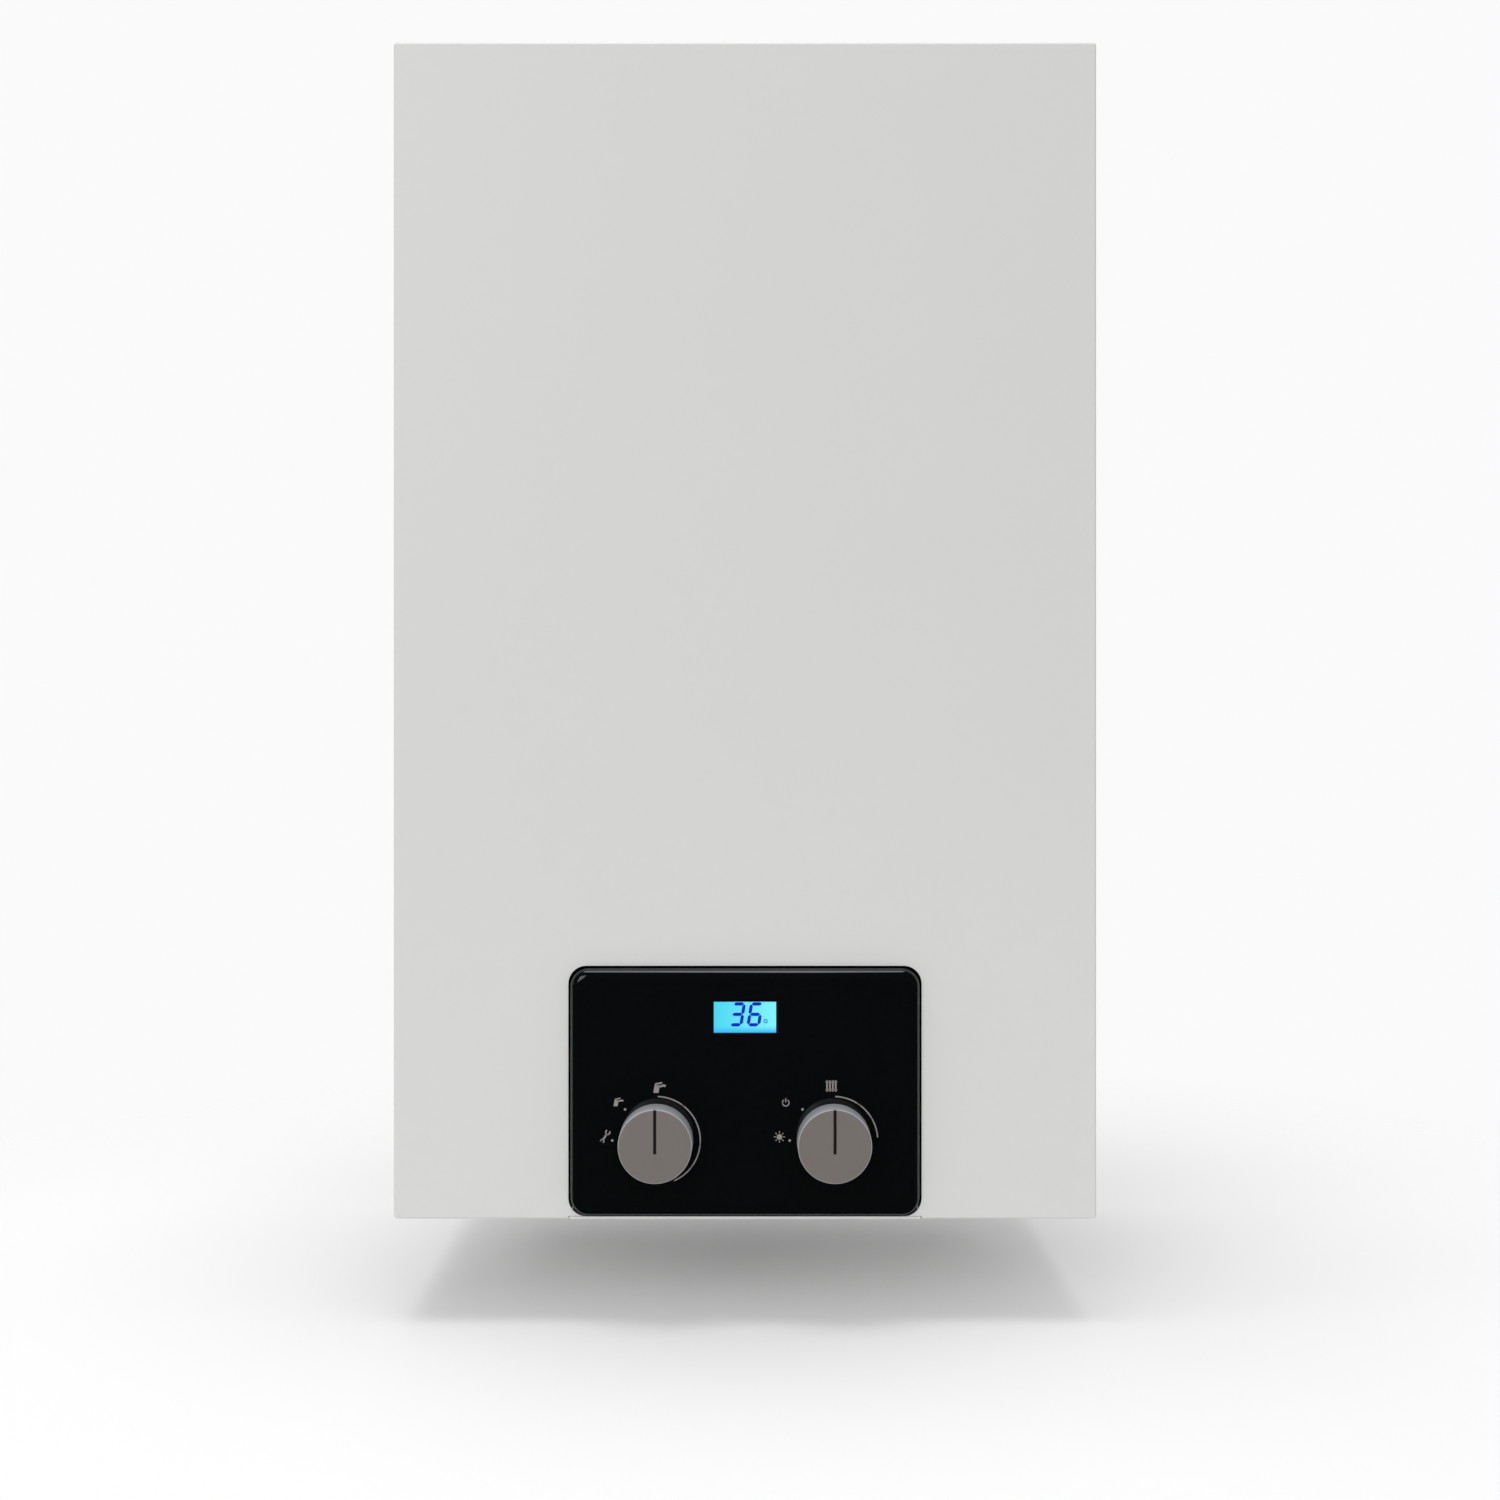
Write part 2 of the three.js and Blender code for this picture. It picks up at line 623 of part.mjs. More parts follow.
// A pan whose edges reach back to the wall, with a window for each hook.
function backFrame() {
  const half = INNER_HALF_WIDTH - PANEL_JOINT;
  const low = PANEL_SHEET + PANEL_JOINT;
  const high = CASE_HEIGHT - low;
  const pan = block([-half, -WALL_GAP, low], [half, FRAME_FRONT, high]);
  const recess = block(
    [-half + FRAME_SHEET, WALL_GAP, low + FRAME_SHEET],
    [half - FRAME_SHEET, FRAME_FRONT + FRAME_SHEET, high - FRAME_SHEET],
  );
  const windowTop = BRACKET_Z + HOOK_RISE + BRACKET_SHEET + RUNNING_GAP;
  const windows = [-1, 1].map((side) => {
    const x = side * HOOK_SPACING / 2;
    const reach = HOOK_WIDTH / 2 + HOOK_SIDE_GAP;
    return block(
      [x - reach, FRAME_FRONT - FRAME_SHEET, windowTop - HOOK_WINDOW_HEIGHT],
      [x + reach, FRAME_FRONT + 2 * FRAME_SHEET, windowTop],
    );
  });
  return cut(pan, recess, ...windows);
}

function sidePanel(side) {
  const outer = side * CASE_WIDTH / 2;
  const lipEnd = side * (INNER_HALF_WIDTH - PANEL_LIP);
  const sheet = block([side * INNER_HALF_WIDTH, -WALL_GAP, 0], [outer, PANEL_FRONT, CASE_HEIGHT]);
  const lip = block(
    [outer, PANEL_FRONT, LIP_END_GAP],
    [lipEnd, PANEL_FRONT + PANEL_SHEET, CASE_HEIGHT - LIP_END_GAP],
  );
  return join(sheet, lip);
}

const PANEL_HALF_WIDTH = INNER_HALF_WIDTH - PANEL_JOINT;
const FLANGE_HALF_WIDTH = INNER_HALF_WIDTH - PANEL_LIP - PANEL_JOINT;

function topPanel() {
  const top = CASE_HEIGHT;
  const sheet = block(
    [-PANEL_HALF_WIDTH, -WALL_GAP, top - PANEL_SHEET], [PANEL_HALF_WIDTH, PANEL_FRONT, top],
  );
  const flange = block(
    [-FLANGE_HALF_WIDTH, PANEL_FRONT, top - LIP_END_GAP],
    [FLANGE_HALF_WIDTH, PANEL_FRONT + PANEL_SHEET, top],
  );
  const onFlue = (z) => point(0, FLUE_Y, z);
  const flueRadius = AIR_PIPE_RADIUS - COLLAR_WALL;
  const flueHole = rod(onFlue(top - LIP_END_GAP), onFlue(top + LIP_END_GAP), flueRadius, ROUND);
  return cut(join(sheet, flange), flueHole);
}

// The places and thread radii of the five connections, from left to right.
const CONNECTIONS = [
  ['flow_nipple', FLOW_X, LARGE_THREAD_RADIUS],
  ['hot_water_nipple', HOT_X, SMALL_THREAD_RADIUS],
  ['gas_nipple', 0, LARGE_THREAD_RADIUS],
  ['cold_water_nipple', COLD_X, SMALL_THREAD_RADIUS],
  ['return_nipple', RETURN_X, LARGE_THREAD_RADIUS],
];

// The lower sheet, with an apron that closes the cover's notch under the control panel.
function bottomPanel() {
  const sheet = block([-PANEL_HALF_WIDTH, -WALL_GAP, 0], [PANEL_HALF_WIDTH, PANEL_FRONT, PANEL_SHEET]);
  const apronHalfWidth = NOTCH_HALF_WIDTH - COVER_SEAM;
  const apron = block(
    [-apronHalfWidth, PANEL_FRONT + PANEL_SHEET, 0],
    [apronHalfWidth, -CASE_DEPTH, FASCIA_LIFT - FASCIA_CLEARANCE],
  );
  const flangeStart = NOTCH_HALF_WIDTH + HINGE_FOOT_LENGTH / 2;
  const flanges = [-1, 1].map((side) => block(
    [side * flangeStart, PANEL_FRONT, 0],
    [side * FLANGE_HALF_WIDTH, PANEL_FRONT + PANEL_SHEET, LIP_END_GAP],
  ));
  const openings = [
    ...CONNECTIONS.map(([, x, radius]) => [x, CONNECTION_Y, radius]),
    [-TRAP_OFFSET, -TRAP_SETBACK, TRAP_OUTLET_RADIUS],
    [GLAND_X, -GLAND_SETBACK, GLAND_RADIUS],
  ];
  const holes = openings.map(([x, y, radius]) => rod(
    point(x, y, -PANEL_SHEET), point(x, y, 2 * PANEL_SHEET), radius + PIPE_HOLE_CLEARANCE,
  ));
  return cut(join(sheet, apron, ...flanges), ...holes);
}

// A folded tray, drawn about the middle of its front, with a notch for the control panel that is open
// below, so that the cover lifts off past it.
function frontCover() {
  const halfWidth = CASE_WIDTH / 2 - PANEL_SHEET;
  const halfHeight = CASE_HEIGHT / 2 - PANEL_SHEET;
  const tray = softSlab(CASE_WIDTH, CASE_HEIGHT, COVER_RETURN, COVER_CORNER, COVER_EDGE, 2, 2);
  const inside = block(
    [-halfWidth, COVER_RETURN, -halfHeight], [halfWidth, PANEL_SHEET - COVER_RETURN, halfHeight],
  );
  const notch = block(
    [-NOTCH_HALF_WIDTH, 2 * COVER_RETURN, -CASE_HEIGHT],
    [NOTCH_HALF_WIDTH, -COVER_RETURN, FASCIA_LIFT + FASCIA_HEIGHT + FASCIA_CLEARANCE - CASE_HEIGHT / 2],
  );
  return cut(tray, inside, notch);
}

// A threaded connection with its hexagon on the bottom panel. Its axis is at x = y = 0.
function nipple(radius) {
  const axis = (z) => point(0, 0, z);
  const hexBottom = PANEL_SHEET + RUNNING_GAP;
  const stem = rod(axis(-NIPPLE_DROP), axis(NIPPLE_TOP), radius, ROUND);
  const hexagon = rod(axis(hexBottom), axis(hexBottom + NIPPLE_HEX_HEIGHT), radius + NIPPLE_HEX_MARGIN, 6);
  const bore = rod(axis(-2 * NIPPLE_DROP), axis(2 * NIPPLE_TOP), radius - NIPPLE_WALL, COARSE);
  return cut(join(stem, hexagon), bore);
}

function cableGland() {
  const profile = [
    [GLAND_BORE_RADIUS, -GLAND_LENGTH], [GLAND_HEX_RADIUS, -GLAND_LENGTH], [GLAND_HEX_RADIUS, -RUNNING_GAP],
    [GLAND_RADIUS, -RUNNING_GAP], [GLAND_RADIUS, GLAND_LENGTH], [GLAND_BORE_RADIUS, GLAND_LENGTH],
  ];
  return upright(turnedRing(profile, COARSE));
}

function casing() {
  const coverPlace = [0, COVER_RETURN - CASE_DEPTH, CASE_HEIGHT / 2];
  const nipples = CONNECTIONS.map(([name, x, radius]) => (
    piece(name, nipple(radius), FINISH.brass(), [x, CONNECTION_Y, 0])
  ));
  return groupAt(
    [0, 0, 0],
    piece('wall_bracket', wallBracket(), FINISH.zincSheet(), [0, 0, BRACKET_Z]),
    piece('back_frame', backFrame(), FINISH.zincSheet()),
    piece('left_side_panel', sidePanel(-1), FINISH.caseWhite()),
    piece('right_side_panel', sidePanel(1), FINISH.caseWhite()),
    piece('top_panel', topPanel(), FINISH.caseWhite()),
    piece('bottom_panel', bottomPanel(), FINISH.caseWhite()),
    piece('front_cover', frontCover(), FINISH.caseWhite(), coverPlace),
    piece('cable_gland', cableGland(), FINISH.darkPlastic(), [GLAND_X, -GLAND_SETBACK, 0]),
    ...nipples,
  );
}

// ---------------------------------------------------------------------------------------------
// Control panel: its group's origin is on the tilt axis
// ---------------------------------------------------------------------------------------------

const FASCIA_MIDDLE_Z = FASCIA_HEIGHT / 2 - HINGE_SETBACK;
const FASCIA_BACK = FASCIA_DEPTH - HINGE_SETBACK;
const KNOB_Z = KNOB_RISE - HINGE_SETBACK;
const WINDOW_Z = WINDOW_RISE - HINGE_SETBACK;
const BOX_BOTTOM = FASCIA_WALL + BOX_INSET - HINGE_SETBACK;
const BOX_TOP = FASCIA_HEIGHT - HINGE_SETBACK - FASCIA_WALL - BOX_INSET;
const BOARD_BOTTOM = BOX_BOTTOM + BOX_WALL + BOARD_RISE;

// The moulded front, a hollow cushion with holes for the window and the knobs' shafts.
function fascia() {
  const body = softSlab(FASCIA_WIDTH, FASCIA_HEIGHT, FASCIA_DEPTH, FASCIA_CORNER, FASCIA_EDGE, 5, 4);
  const hollow = softSlab(
    FASCIA_WIDTH - 2 * FASCIA_WALL, FASCIA_HEIGHT - 2 * FASCIA_WALL, 2 * FASCIA_DEPTH - FASCIA_WALL,
    FASCIA_CORNER - FASCIA_WALL, FASCIA_EDGE - FASCIA_WALL, 5, 3,
  ).translate(0, FASCIA_DEPTH, 0);
  const windowHalfWidth = WINDOW_WIDTH / 2 + WINDOW_JOINT;
  const windowHalfHeight = WINDOW_HEIGHT / 2 + WINDOW_JOINT;
  const windowMiddle = WINDOW_Z - FASCIA_MIDDLE_Z;
  const opening = block(
    [-windowHalfWidth, 0, windowMiddle - windowHalfHeight],
    [windowHalfWidth, -2 * FASCIA_DEPTH, windowMiddle + windowHalfHeight],
  );
  const shaftHoles = [-1, 1].map((side) => {
    const [x, z] = [side * KNOB_SPACING / 2, KNOB_Z - FASCIA_MIDDLE_Z];
    return rod(point(x, 0, z), point(x, -2 * FASCIA_DEPTH, z), SHAFT_HOLE_RADIUS);
  });
  return cut(body, hollow, opening, ...shaftHoles);
}

// The outline of the box seen from its side: its top falls away so that it swings out of the cover.
function boxOutline(inset, front) {
  const swing = FASCIA_HEIGHT - HINGE_SETBACK + FASCIA_CLEARANCE - BOX_SWING_GAP;
  const rearTop = Math.sqrt(swing ** 2 - BOX_DEPTH ** 2);
  return new THREE.Shape([
    new THREE.Vector2(front, BOX_BOTTOM + inset),
    new THREE.Vector2(BOX_DEPTH - inset, BOX_BOTTOM + inset),
    new THREE.Vector2(BOX_DEPTH - inset, rearTop - inset),
    new THREE.Vector2(front, BOX_TOP - inset),
  ]);
}

function controlBox() {
  const shell = pulledAlongX(boxOutline(0, -BOX_TUCK), -BOX_HALF_WIDTH, BOX_HALF_WIDTH);
  const inner = BOX_HALF_WIDTH - BOX_WALL;
  const hollow = pulledAlongX(boxOutline(BOX_WALL, -2 * BOX_TUCK), -inner, inner);
  const pinHoles = [-1, 1].map((side) => rod(
    point(side * (inner - BOX_WALL), 0, 0), point(side * (BOX_HALF_WIDTH + BOX_WALL), 0, 0),
    HINGE_PIN_RADIUS + SHAFT_CLEARANCE,
  ));
  return cut(shell, hollow, ...pinHoles);
}

// A gooseneck arm on the bottom panel with the pin that the control box turns on.
function hingeArm(side) {
  const angle = THREE.MathUtils.degToRad(HINGE_ARM_ANGLE);
  const half = HINGE_ARM_HALF_WIDTH;
  const barMiddle = HINGE_ARM_NECK * Math.sin(angle);
  const footBottom = PANEL_SHEET + RUNNING_GAP - HINGE_Z;
  const legFront = HINGE_ARM_REACH - HINGE_LEG_WIDTH;
  const alongNeck = (offset, height) => {
    const travel = (height - offset * Math.cos(angle)) / Math.sin(angle);
    return travel * Math.cos(angle) - offset * Math.sin(angle);
  };
  const outline = new THREE.Shape();
  outline.absarc(0, 0, half, angle + Math.PI / 2, angle + 3 * Math.PI / 2);
  outline.lineTo(alongNeck(-half, barMiddle - half), barMiddle - half);
  outline.lineTo(legFront, barMiddle - half);
  outline.lineTo(legFront, footBottom);
  outline.lineTo(HINGE_ARM_REACH, footBottom);
  outline.lineTo(HINGE_ARM_REACH, barMiddle + half);
  outline.lineTo(alongNeck(half, barMiddle + half), barMiddle + half);
  const ends = [side * HINGE_ARM_X, side * (HINGE_ARM_X + HINGE_ARM_SHEET)];
  const arm = pulledAlongX(outline, Math.min(...ends), Math.max(...ends));
  const foot = block(
    [ends[0], legFront, footBottom],
    [side * (HINGE_ARM_X + HINGE_FOOT_WIDTH), legFront + HINGE_FOOT_LENGTH, footBottom + HINGE_FOOT_SHEET],
  );
  const onPin = (x) => point(side * x, 0, 0);
  const pinRoot = HINGE_ARM_X + HINGE_ARM_SHEET / 2;
  const pin = rod(onPin(pinRoot), onPin(BOX_HALF_WIDTH - HINGE_PIN_REACH), HINGE_PIN_RADIUS);
  return join(arm, foot, pin);
}

function displayWindow() {
  const rear = WINDOW_THICKNESS / 2;
  return block([-WINDOW_WIDTH / 2, -rear, -WINDOW_HEIGHT / 2], [WINDOW_WIDTH / 2, rear, WINDOW_HEIGHT / 2]);
}

function displayModule() {
  const halfWidth = WINDOW_WIDTH / 2 + DISPLAY_BORDER;
  const halfHeight = WINDOW_HEIGHT / 2 + DISPLAY_BORDER;
  return block([-halfWidth, 0, -halfHeight], [halfWidth, DISPLAY_THICKNESS, halfHeight]);
}

// The circuit board with two potentiometers on its front and a transformer and relays on its rear.
function controlBoard() {
  const half = BOX_HALF_WIDTH - BOX_WALL - BOARD_SIDE_GAP;
  const board = block([-half, 0, 0], [half, BOARD_THICKNESS, BOARD_HEIGHT]);
  const potentiometers = [-1, 1].map((side) => {
    const [x, z] = [side * KNOB_SPACING / 2, KNOB_Z - BOARD_BOTTOM];
    const reach = POT_SIZE / 2;
    return block([x - reach, BOARD_THICKNESS / 2, z - reach], [x + reach, -POT_THICKNESS, z + reach]);
  });
  const pitch = half / 3;
  const parts = [-2, -1, 1, 2].map((slot) => {
    const x = slot * pitch;
    const reach = CHIP_BLOCK_HEIGHT / 2;
    const [low, high] = [BOARD_RISE, BOARD_RISE + pitch];
    return block([x - reach, BOARD_THICKNESS / 2, low], [x + reach, CHIP_BLOCK_HEIGHT, high]);
  });
  return join(board, ...potentiometers, ...parts);
}

const POT_FRONT = BOARD_SETBACK - POT_THICKNESS;
const KNOB_BASE = -(HINGE_SETBACK + KNOB_GAP);

// A hollow cap with a hub for the shaft and a pointer groove. Its base is at y = 0.
function knob() {
  const faceInside = KNOB_FACE_WALL - KNOB_HEIGHT;
  const bore = SHAFT_RADIUS + SHAFT_CLEARANCE;
  const rim = KNOB_RADIUS - KNOB_WALL;
  const body = turned([
    [0, -KNOB_BORE_DEPTH], [bore, -KNOB_BORE_DEPTH], [bore, 0], [KNOB_HUB_RADIUS, 0],
    [KNOB_HUB_RADIUS, faceInside], [rim, faceInside], [rim, 0], [KNOB_RADIUS, 0],
    [KNOB_RADIUS - KNOB_TAPER, KNOB_CHAMFER - KNOB_HEIGHT],
    [KNOB_RADIUS - KNOB_TAPER - KNOB_CHAMFER, -KNOB_HEIGHT], [0, -KNOB_HEIGHT],
  ], FINE);
  const groove = block(
    [-POINTER_WIDTH / 2, POINTER_DEPTH - KNOB_HEIGHT, -POINTER_PAST_CENTRE],
    [POINTER_WIDTH / 2, -2 * KNOB_HEIGHT, 2 * KNOB_RADIUS],
  );
  return cut(body, groove);
}

function knobShaft() {
  const start = point(0, POT_FRONT - RUNNING_GAP - KNOB_BASE, 0);
  return rod(start, point(0, SHAFT_CLEARANCE - KNOB_BORE_DEPTH, 0), SHAFT_RADIUS, COARSE);
}

function controlPanel() {
  const windowPlace = WINDOW_INSET + WINDOW_THICKNESS / 2 - HINGE_SETBACK;
  const displayPlace = windowPlace + WINDOW_THICKNESS / 2 + RUNNING_GAP;
  const knobs = [['hot_water', -1], ['heating', 1]].map(([name, side]) => {
    const x = side * KNOB_SPACING / 2;
    return groupAt(
      [x, 0, KNOB_Z],
      piece(`${name}_shaft`, knobShaft(), FINISH.whitePlastic(), [0, KNOB_BASE, 0]),
      piece(`${name}_knob`, knob(), FINISH.knobMetal(), [0, KNOB_BASE, 0]),
    );
  });
  return groupAt(
    [0, HINGE_Y, HINGE_Z],
    piece('left_hinge_arm', hingeArm(-1), FINISH.zincSheet()),
    piece('right_hinge_arm', hingeArm(1), FINISH.zincSheet()),
    piece('control_box', controlBox(), FINISH.darkPlastic()),
    piece('fascia', fascia(), FINISH.glossBlack(), [0, FASCIA_BACK, FASCIA_MIDDLE_Z]),
    piece('display_window', displayWindow(), FINISH.clearPane(), [0, windowPlace, WINDOW_Z]),
    piece('display_module', displayModule(), FINISH.display(), [0, displayPlace, WINDOW_Z]),
    piece('control_board', controlBoard(), FINISH.circuitGreen(), [0, BOARD_SETBACK, BOARD_BOTTOM]),
    ...knobs,
  );
}

// ---------------------------------------------------------------------------------------------
// Burner: its group's origin is on the exchanger's axis, and the fan's on the fan's axis
// ---------------------------------------------------------------------------------------------

// A wide drum with two waist grooves, a chamber open to the front, a flue spigot and two water ports.
function heatExchanger() {
  const third = (EXCHANGER_REAR - EXCHANGER_FRONT) / 3;
  const grooves = [1, 2].flatMap((i) => {
    const y = EXCHANGER_REAR - i * third;
    const inner = EXCHANGER_RADIUS - EXCHANGER_GROOVE;
    return [[EXCHANGER_RADIUS, y + EXCHANGER_GROOVE], [inner, y], [EXCHANGER_RADIUS, y - EXCHANGER_GROOVE]];
  });
  const drum = turned([
    [0, EXCHANGER_REAR], [EXCHANGER_RADIUS, EXCHANGER_REAR], ...grooves, [EXCHANGER_RADIUS, EXCHANGER_FRONT],
    [CHAMBER_RADIUS, EXCHANGER_FRONT], [CHAMBER_RADIUS, CHAMBER_BACK], [0, CHAMBER_BACK],
  ], FINE);
  const spigotRadius = FLUE_PIPE_RADIUS - FLUE_PIPE_WALL - FLUE_SPIGOT_GAP;
  const spigotTop = EXCHANGER_RADIUS + FLUE_SPIGOT_RISE;
  const onFlue = (z) => point(EXCHANGER_OFFSET, FLUE_Y, z);
  const spigot = rod(onFlue(EXCHANGER_RADIUS - FLUE_SPIGOT_ROOT), onFlue(spigotTop), spigotRadius, ROUND);
  const boreRadius = spigotRadius - FLUE_PIPE_WALL;
  const spigotBore = rod(onFlue(EXCHANGER_RADIUS), onFlue(2 * spigotTop), boreRadius, ROUND);
  const ports = [-1, 1].map((side) => rod(
    point(side * PORT_SPACING, EXCHANGER_MIDDLE_Y, PORT_LENGTH - EXCHANGER_RADIUS),
    point(side * PORT_SPACING, EXCHANGER_MIDDLE_Y, -EXCHANGER_RADIUS - PORT_LENGTH), HEATING_PIPE_RADIUS,
  ));
  const drain = rod(
    point(0, EXCHANGER_MIDDLE_Y, PORT_LENGTH - EXCHANGER_RADIUS),
    point(0, EXCHANGER_MIDDLE_Y, -EXCHANGER_RADIUS - PORT_LENGTH), HOSE_RADIUS,
  );
  return cut(join(drum, spigot, ...ports, drain), spigotBore);
}

// Where the electrode passes the door, seen from the front.
function electrodePlace() {
  const angle = THREE.MathUtils.degToRad(ELECTRODE_ANGLE);
  return [ELECTRODE_OFFSET * Math.cos(angle), ELECTRODE_OFFSET * Math.sin(angle)];
}

function burnerDoor() {
  const bore = DUCT_RADIUS - DUCT_WALL;
  const plate = turnedRing(sleeve(bore, DOOR_RADIUS, DOOR_FRONT, DOOR_REAR), FINE);
  const [x, z] = electrodePlace();
  const hole = rod(
    point(x, DOOR_FRONT - DOOR_THICKNESS, z), point(x, DOOR_REAR + DOOR_THICKNESS, z),
    ELECTRODE_RADIUS + SHAFT_CLEARANCE, 12,
  );
  return cut(plate, hole);
}

// A closed tube whose rim stands in the mouth of the chamber.
function burnerTube() {
  const end = CHAMBER_BACK - BURNER_END_GAP;
  const flange = BURNER_RADIUS + BURNER_FLANGE;
  const inner = BURNER_RADIUS - BURNER_WALL;
  return turned([
    [0, end], [BURNER_RADIUS, end], [BURNER_RADIUS, EXCHANGER_FRONT + BURNER_WALL],
    [flange, EXCHANGER_FRONT + BURNER_WALL], [flange, EXCHANGER_FRONT], [inner, EXCHANGER_FRONT],
    [inner, end - BURNER_WALL], [0, end - BURNER_WALL],
  ]);
}

function ignitionElectrode() {
  const seat = DOOR_FRONT - RUNNING_GAP;
  const front = seat - ELECTRODE_CERAMIC_LENGTH;
  const tip = DOOR_REAR + ELECTRODE_REACH;
  return turned([
    [0, front], [ELECTRODE_CERAMIC_RADIUS, front], [ELECTRODE_CERAMIC_RADIUS, seat],
    [ELECTRODE_RADIUS, seat], [ELECTRODE_RADIUS, tip], [0, tip],
  ], 12);
}

// The middle of the fan's outlet at its root and the way it runs to the middle of the burner door,
// both about the fan's axis.
const OUTLET_ROOT = point(0, DUCT_Y, -OUTLET_OFFSET);
const DOOR_FROM_FAN = point(EXCHANGER_X - FAN_OFFSET, DUCT_Y, EXCHANGER_Z - FAN_Z);
const OUTLET_WAY = DOOR_FROM_FAN.clone().sub(OUTLET_ROOT).normalize();
const alongOutlet = (distance) => OUTLET_ROOT.clone().addScaledVector(OUTLET_WAY, distance);

// A round scroll with its outlet to the left and down.
function fanHousing() {
  const onAxis = (y) => point(0, y, 0);
  const scroll = rod(onAxis(FAN_REAR), onAxis(FAN_FRONT), FAN_RADIUS, FINE);
  const outlet = rod(alongOutlet(0), alongOutlet(OUTLET_LENGTH), DUCT_RADIUS, ROUND);
  const chamber = rod(onAxis(FAN_REAR - FAN_WALL), onAxis(FAN_FRONT + FAN_WALL), FAN_RADIUS - FAN_WALL, FINE);
  const outletBore = rod(alongOutlet(0), alongOutlet(2 * OUTLET_LENGTH), DUCT_RADIUS - DUCT_WALL, ROUND);
  const inlet = rod(onAxis(FAN_REAR + FAN_WALL), onAxis(FAN_REAR - 2 * FAN_WALL), FAN_INLET_RADIUS, ROUND);
  const [holeRear, holeFront] = [FAN_FRONT + 2 * FAN_WALL, FAN_FRONT - FAN_WALL];
  const shaftHole = rod(onAxis(holeFront), onAxis(holeRear), FAN_SHAFT_HOLE_RADIUS);
  return cut(join(scroll, outlet), chamber, outletBore, inlet, shaftHole);
}

// A cast elbow from the fan's outlet to the burner door, about the fan's axis.
function premixDuct() {
  const elbow = DOOR_FROM_FAN;
  const seat = point(elbow.x, DOOR_FRONT - RUNNING_GAP, elbow.z);
  const flangeFront = point(elbow.x, DOOR_FRONT - RUNNING_GAP - DUCT_FLANGE_THICKNESS, elbow.z);
  const beyondSeat = point(elbow.x, DOOR_REAR, elbow.z);
  const inner = DUCT_RADIUS - DUCT_WALL;
  const ball = (radius) => {
    const sphere = new THREE.SphereGeometry(radius, COARSE, COARSE / 2);
    return sphere.translate(elbow.x, elbow.y, elbow.z);
  };
  const start = alongOutlet(OUTLET_LENGTH + RUNNING_GAP);
  return cut(
    join(
      rod(start, elbow, DUCT_RADIUS, ROUND), ball(DUCT_RADIUS), rod(elbow, seat, DUCT_RADIUS, ROUND),
      rod(flangeFront, seat, DUCT_FLANGE_RADIUS, ROUND),
    ),
    rod(alongOutlet(0), elbow, inner), ball(inner), rod(elbow, beyondSeat, inner),
  );
}

function fanMotor() {
  const rear = FAN_FRONT - RUNNING_GAP;
  const bore = FAN_SHAFT_RADIUS + SHAFT_CLEARANCE;
  const boreEnd = MOTOR_FRONT + MOTOR_LENGTH / 3;
  return turned([
    [0, MOTOR_FRONT], [MOTOR_RADIUS - FAN_WALL, MOTOR_FRONT], [MOTOR_RADIUS, MOTOR_FRONT + FAN_WALL],
    [MOTOR_RADIUS, rear], [bore, rear], [bore, boreEnd], [0, boreEnd],
  ], FINE);
}

// A backplate with radial blades on a shaft that reaches into the motor.
function bladedRotor(radius, eye, plateRear, plateThickness, bladeRear, blades, shaftRadius, shaftEnd) {
  const plateFront = plateRear - plateThickness;
  const onAxis = (y) => point(0, y, 0);
  const plate = rod(onAxis(plateRear), onAxis(plateFront), radius, ROUND);
  const shaft = rod(onAxis(plateRear), onAxis(shaftEnd), shaftRadius, COARSE);
  const vanes = Array.from({ length: blades }, (_, i) => {
    const vane = block([eye, plateFront, -plateThickness / 2], [radius, bladeRear, plateThickness / 2]);
    return vane.rotateY((i / blades) * 2 * Math.PI);
  });
  return join(plate, shaft, ...vanes);
}

function fanImpeller() {
  const radius = FAN_RADIUS - FAN_WALL - IMPELLER_GAP;
  const plateRear = FAN_FRONT + FAN_WALL + IMPELLER_GAP;
  const bladeRear = FAN_REAR - FAN_WALL - IMPELLER_GAP;
  return bladedRotor(
    radius, FAN_INLET_RADIUS, plateRear, IMPELLER_SHEET, bladeRear, IMPELLER_BLADES,
    FAN_SHAFT_RADIUS, MOTOR_FRONT + MOTOR_LENGTH / 2,
  );
}

const VENTURI_FRONT = FAN_REAR + RUNNING_GAP;
const VENTURI_REAR = VENTURI_FRONT + VENTURI_LENGTH;
const VENTURI_MIDDLE = (VENTURI_FRONT + VENTURI_REAR) / 2;

// A waisted tube behind the fan with the gas inlet below it.
function venturi() {
  const wall = DUCT_WALL;
  const body = turnedRing([
    [FAN_INLET_RADIUS - wall, VENTURI_FRONT], [FAN_INLET_RADIUS + wall, VENTURI_FRONT],
    [VENTURI_THROAT + 2 * wall, VENTURI_MIDDLE], [FAN_INLET_RADIUS, VENTURI_REAR],
    [SILENCER_BORE, VENTURI_REAR], [VENTURI_THROAT, VENTURI_MIDDLE],
  ]);
  const onBoss = (z) => point(0, VENTURI_MIDDLE, z);
  const boss = rod(onBoss(-VENTURI_THROAT - wall), onBoss(-VENTURI_BOSS_LENGTH), VENTURI_BOSS_RADIUS);
  const inlet = rod(onBoss(0), onBoss(-2 * VENTURI_BOSS_LENGTH), GAS_TUBE_RADIUS - PIPE_WALL, 12);
  return cut(join(body, boss), inlet);
}

